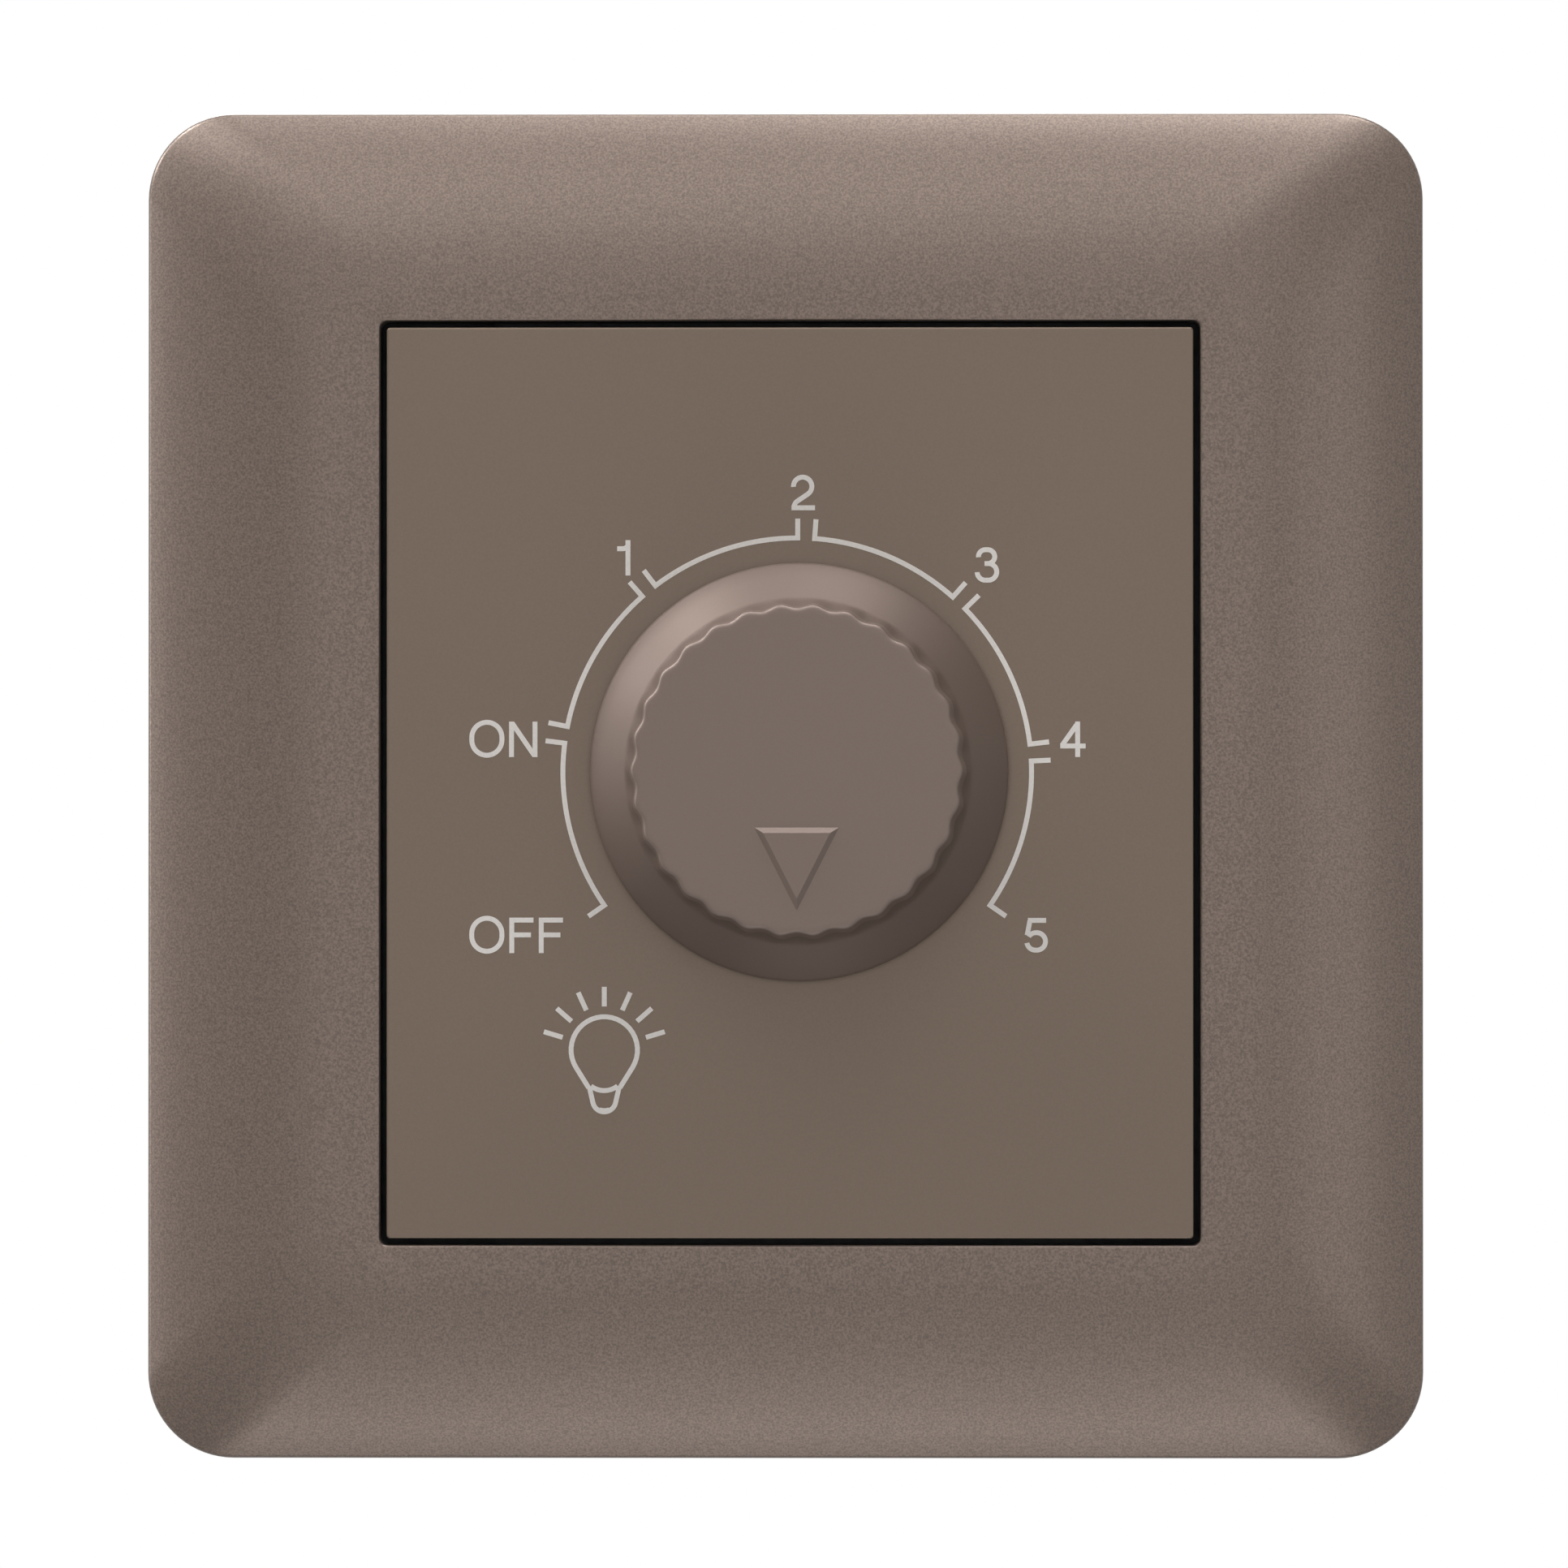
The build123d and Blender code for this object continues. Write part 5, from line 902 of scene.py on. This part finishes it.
# Middle of the bulb sign from the knob's axis, and its outline from that middle, in millimetres
BULB_PLACE = (-13.1, -18.643)
BULB_STROKES = [
    ((-1.892, -1.182), 122, [(2.231, -244), (1.6,)]),
    ((-1.892, -1.182), -58, [(1.6,)]),
    ((-0.9, -2.42), -38, [(1.46, 76)]),
    ((-1.0, -2.5), -77, [(1.08,), (0.777, 154), (1.08,)]),
    ((-0.33, -4.02), -18, [(1.07, 36)]),
]


class DIMMER_OT_bulb_sign(bpy.types.Operator):
    """Prints the sign of a shining bulb"""

    bl_idname = "dimmer.bulb_sign"
    bl_label = "Bulb sign"

    def execute(self, context):
        sizes = context.scene.dimmer.printing
        width = sizes.stroke / MM
        start = sizes.ray_start / MM
        length = (sizes.ray_end - sizes.ray_start) / MM
        bm = bmesh.new()
        for layer, stroke in enumerate(BULB_STROKES):
            pen_stroke(bm, *stroke, width, layer)
        for step in RAY_STEPS:
            aim = step * sizes.ray_pitch
            place = (start * math.sin(aim), start * math.cos(aim))
            pen_stroke(bm, place, 90 - math.degrees(aim), [(length,)], width, 0)
        to_dial(bm, *BULB_PLACE)
        print_piece("bulb_sign", bm, sizes)
        return {"FINISHED"}


# Stage

# Area lamps: angle clockwise from the top, angle towards the front, distance, size and power
LAMPS = {
    "key": (-35, 1, 0.9, 0.2, 5.04),
    "left": (-60, 1, 0.9, 0.2, 4.0),
    "low_left": (-88, 1, 0.9, 0.2, 1.1),
    "crest": (0, 1, 0.9, 0.2, 1.2),
    "crest_left": (-10, 7, 0.9, 0.3, 0.33),
    "crest_right": (15, 7, 0.9, 0.3, 3.52),
    "upper_left": (-30, 24, 0.9, 0.4, 1.72),
    "upper_right": (20, 24, 0.9, 0.4, 0.94),
    "side": (98, 27, 0.9, 0.5, 0.18),
    "overhead": (-5, 50, 0.9, 0.5, 1.19),
    "right": (90, 52, 0.9, 0.5, 0.76),
    "front": (0, 82, 1.8, 0.8, 1.89),
    "below": (176, 33, 0.7, 0.4, 0.69),
    "below_low": (180, 20, 0.7, 0.3, 0.305),
    "below_front": (175, 62, 1.0, 0.5, 0.6),
    "rear": (0, -60, 1.6, 0.8, 12.0),
}

# What the camera draws, from nearest to furthest, in metres
NEAR_CLIP = 0.01
FAR_CLIP = 100.0

# Floor: half its width and where its fade to white starts and ends, in metres from its middle
FLOOR_HALF = 1.5
FADE_START = 0.3
FADE_END = 1.4

# Floor: its tone and roughness, and the share of white that is seen in its middle
FLOOR_TONE = 0.8
FLOOR_ROUGHNESS = 0.9
FLOOR_GLOW = 0.8


def look_back(thing, target, way, distance):
    """Puts a camera or lamp at a distance from its target, and turns it to face that."""
    thing.location = target + way * distance
    thing.rotation_euler = way.to_track_quat("Z", "Y").to_euler()


class DIMMER_OT_stage(bpy.types.Operator):
    """Sets the camera, the floor, the lamps and the white surround"""

    bl_idname = "dimmer.stage"
    bl_label = "Stage"

    def camera(self, settings):
        """Camera at the photograph's angle, far enough back for the width of the picture."""
        data = bpy.data.cameras.new("camera")
        data.lens = settings.lens
        data.clip_start = NEAR_CLIP
        data.clip_end = FAR_CLIP
        camera = new_object("camera", data)
        distance = settings.view_width * settings.lens / data.sensor_width
        side, rise = settings.azimuth, settings.elevation
        back = Vector(
            (math.sin(side) * math.cos(rise), -math.cos(side) * math.cos(rise), math.sin(rise))
        )
        look_back(camera, Vector((settings.aim_x, -PLATE_DEPTH, settings.aim_z)), back, distance)
        bpy.context.scene.camera = camera

    def seen_share(self, tree):
        """1 for what the camera, gloss and glass see of the surround, and 0 for the light it sheds."""
        path = tree.nodes.new("ShaderNodeLightPath")
        seen = path.outputs["Is Camera Ray"]
        for output in ("Is Glossy Ray", "Is Transmission Ray"):
            seen = combined(tree, "MAXIMUM", seen, path.outputs[output])
        return seen

    def shown(self, tree, share, shed, seen, output):
        """Mixes the shader that sheds light with the one that is seen, by a share."""
        mix = tree.nodes.new("ShaderNodeMixShader")
        tree.links.new(share, mix.inputs["Fac"])
        tree.links.new(shed.outputs[0], mix.inputs[1])
        tree.links.new(seen.outputs[0], mix.inputs[2])
        tree.links.new(mix.outputs["Shader"], tree.nodes[output].inputs["Surface"])

    def world(self, settings):
        """Surround that is seen as white and sheds a little light from all round."""
        world = bpy.data.worlds.new("studio")
        world.use_nodes = True
        tree = world.node_tree
        shed = tree.nodes["Background"]
        seen = tree.nodes.new("ShaderNodeBackground")
        for shader, strength in ((shed, settings.ambient), (seen, 1.0)):
            shader.inputs["Color"].default_value = shaded(WHITE, 1)
            shader.inputs["Strength"].default_value = strength
        self.shown(tree, self.seen_share(tree), shed, seen, "World Output")
        bpy.context.scene.world = world

    def floor(self, settings):
        """Pale floor far below, which fades into the white surround."""
        bm = bmesh.new()
        place = Matrix.Translation((0, 0, settings.floor))
        bmesh.ops.create_grid(bm, x_segments=1, y_segments=1, size=FLOOR_HALF, matrix=place)
        mesh = bpy.data.meshes.new("floor")
        bm.to_mesh(mesh)
        bm.free()
        pale = (FLOOR_TONE, FLOOR_TONE, FLOOR_TONE)
        material, shader = node_material("pale_floor", pale, 0.0, FLOOR_ROUGHNESS)
        tree = material.node_tree
        glow = tree.nodes.new("ShaderNodeEmission")
        glow.inputs["Strength"].default_value = 1.0
        coordinates = tree.nodes.new("ShaderNodeTexCoord")
        reach = tree.nodes.new("ShaderNodeVectorMath")
        reach.operation = "LENGTH"
        tree.links.new(coordinates.outputs["Object"], reach.inputs[0])
        near, far = math.hypot(FADE_START, settings.floor), math.hypot(FADE_END, settings.floor)
        fade = ranged(tree, reach.outputs["Value"], FLOOR_GLOW, 1.0, near, far)
        share = combined(tree, "MULTIPLY", self.seen_share(tree), fade)
        self.shown(tree, share, shader, glow, "Material Output")
        mesh.materials.append(material)
        floor = new_object("floor", mesh)

    def lamps(self):
        """Soft square lamps that face the dimmer and that the camera doesn't see."""
        for name, (turn, front, distance, size, power) in LAMPS.items():
            data = bpy.data.lights.new(name, "AREA")
            data.shape = "SQUARE"
            data.size = size
            data.energy = power
            lamp = new_object(name, data)
            turn, front = math.radians(turn), math.radians(front)
            way = Vector(
                (math.sin(turn) * math.cos(front), -math.sin(front), math.cos(turn) * math.cos(front))
            )
            look_back(lamp, Vector(), way, distance)
            lamp.visible_camera = False

    def execute(self, context):
        settings = context.scene.dimmer.stage
        self.camera(settings)
        self.world(settings)
        self.floor(settings)
        self.lamps()
        context.scene.view_settings.view_transform = "Standard"
        return {"FINISHED"}


class DIMMER_PT_sidebar(bpy.types.Panel):
    """Lists the dimmer's steps and settings"""

    bl_idname = "DIMMER_PT_sidebar"
    bl_label = "Dimmer"
    bl_space_type = "VIEW_3D"
    bl_region_type = "UI"
    bl_category = "Dimmer"

    def draw(self, context):
        settings = context.scene.dimmer
        for step in STEPS:
            self.layout.operator(step.bl_idname)
        groups = (settings.plate, settings.knob, settings.printing, settings.finishes, settings.stage)
        for group in groups:
            box = self.layout.box()
            for name in group.bl_rna.properties.keys():
                if name not in ("rna_type", "name"):
                    box.prop(group, name)


STEPS = (
    DIMMER_OT_finishes,
    DIMMER_OT_cover_plate,
    DIMMER_OT_knob,
    DIMMER_OT_scale,
    DIMMER_OT_lettering,
    DIMMER_OT_bulb_sign,
    DIMMER_OT_stage,
)
CLASSES = (
    PlateSizes,
    KnobSizes,
    PrintSizes,
    Finishes,
    StageSettings,
    DimmerSettings,
    *STEPS,
    DIMMER_PT_sidebar,
)


def register():
    """Makes the settings, steps and sidebar known to Blender."""
    for cls in CLASSES:
        bpy.utils.register_class(cls)
    bpy.types.Scene.dimmer = PointerProperty(type=DimmerSettings)


def unregister():
    """Takes them out again."""
    del bpy.types.Scene.dimmer
    for cls in reversed(CLASSES):
        bpy.utils.unregister_class(cls)


def main():
    """Runs every step in order."""
    register()
    bpy.ops.dimmer.finishes()
    bpy.ops.dimmer.cover_plate()
    bpy.ops.dimmer.knob()
    bpy.ops.dimmer.scale()
    bpy.ops.dimmer.lettering()
    bpy.ops.dimmer.bulb_sign()
    bpy.ops.dimmer.stage()


if __name__ == "__main__":
    main()
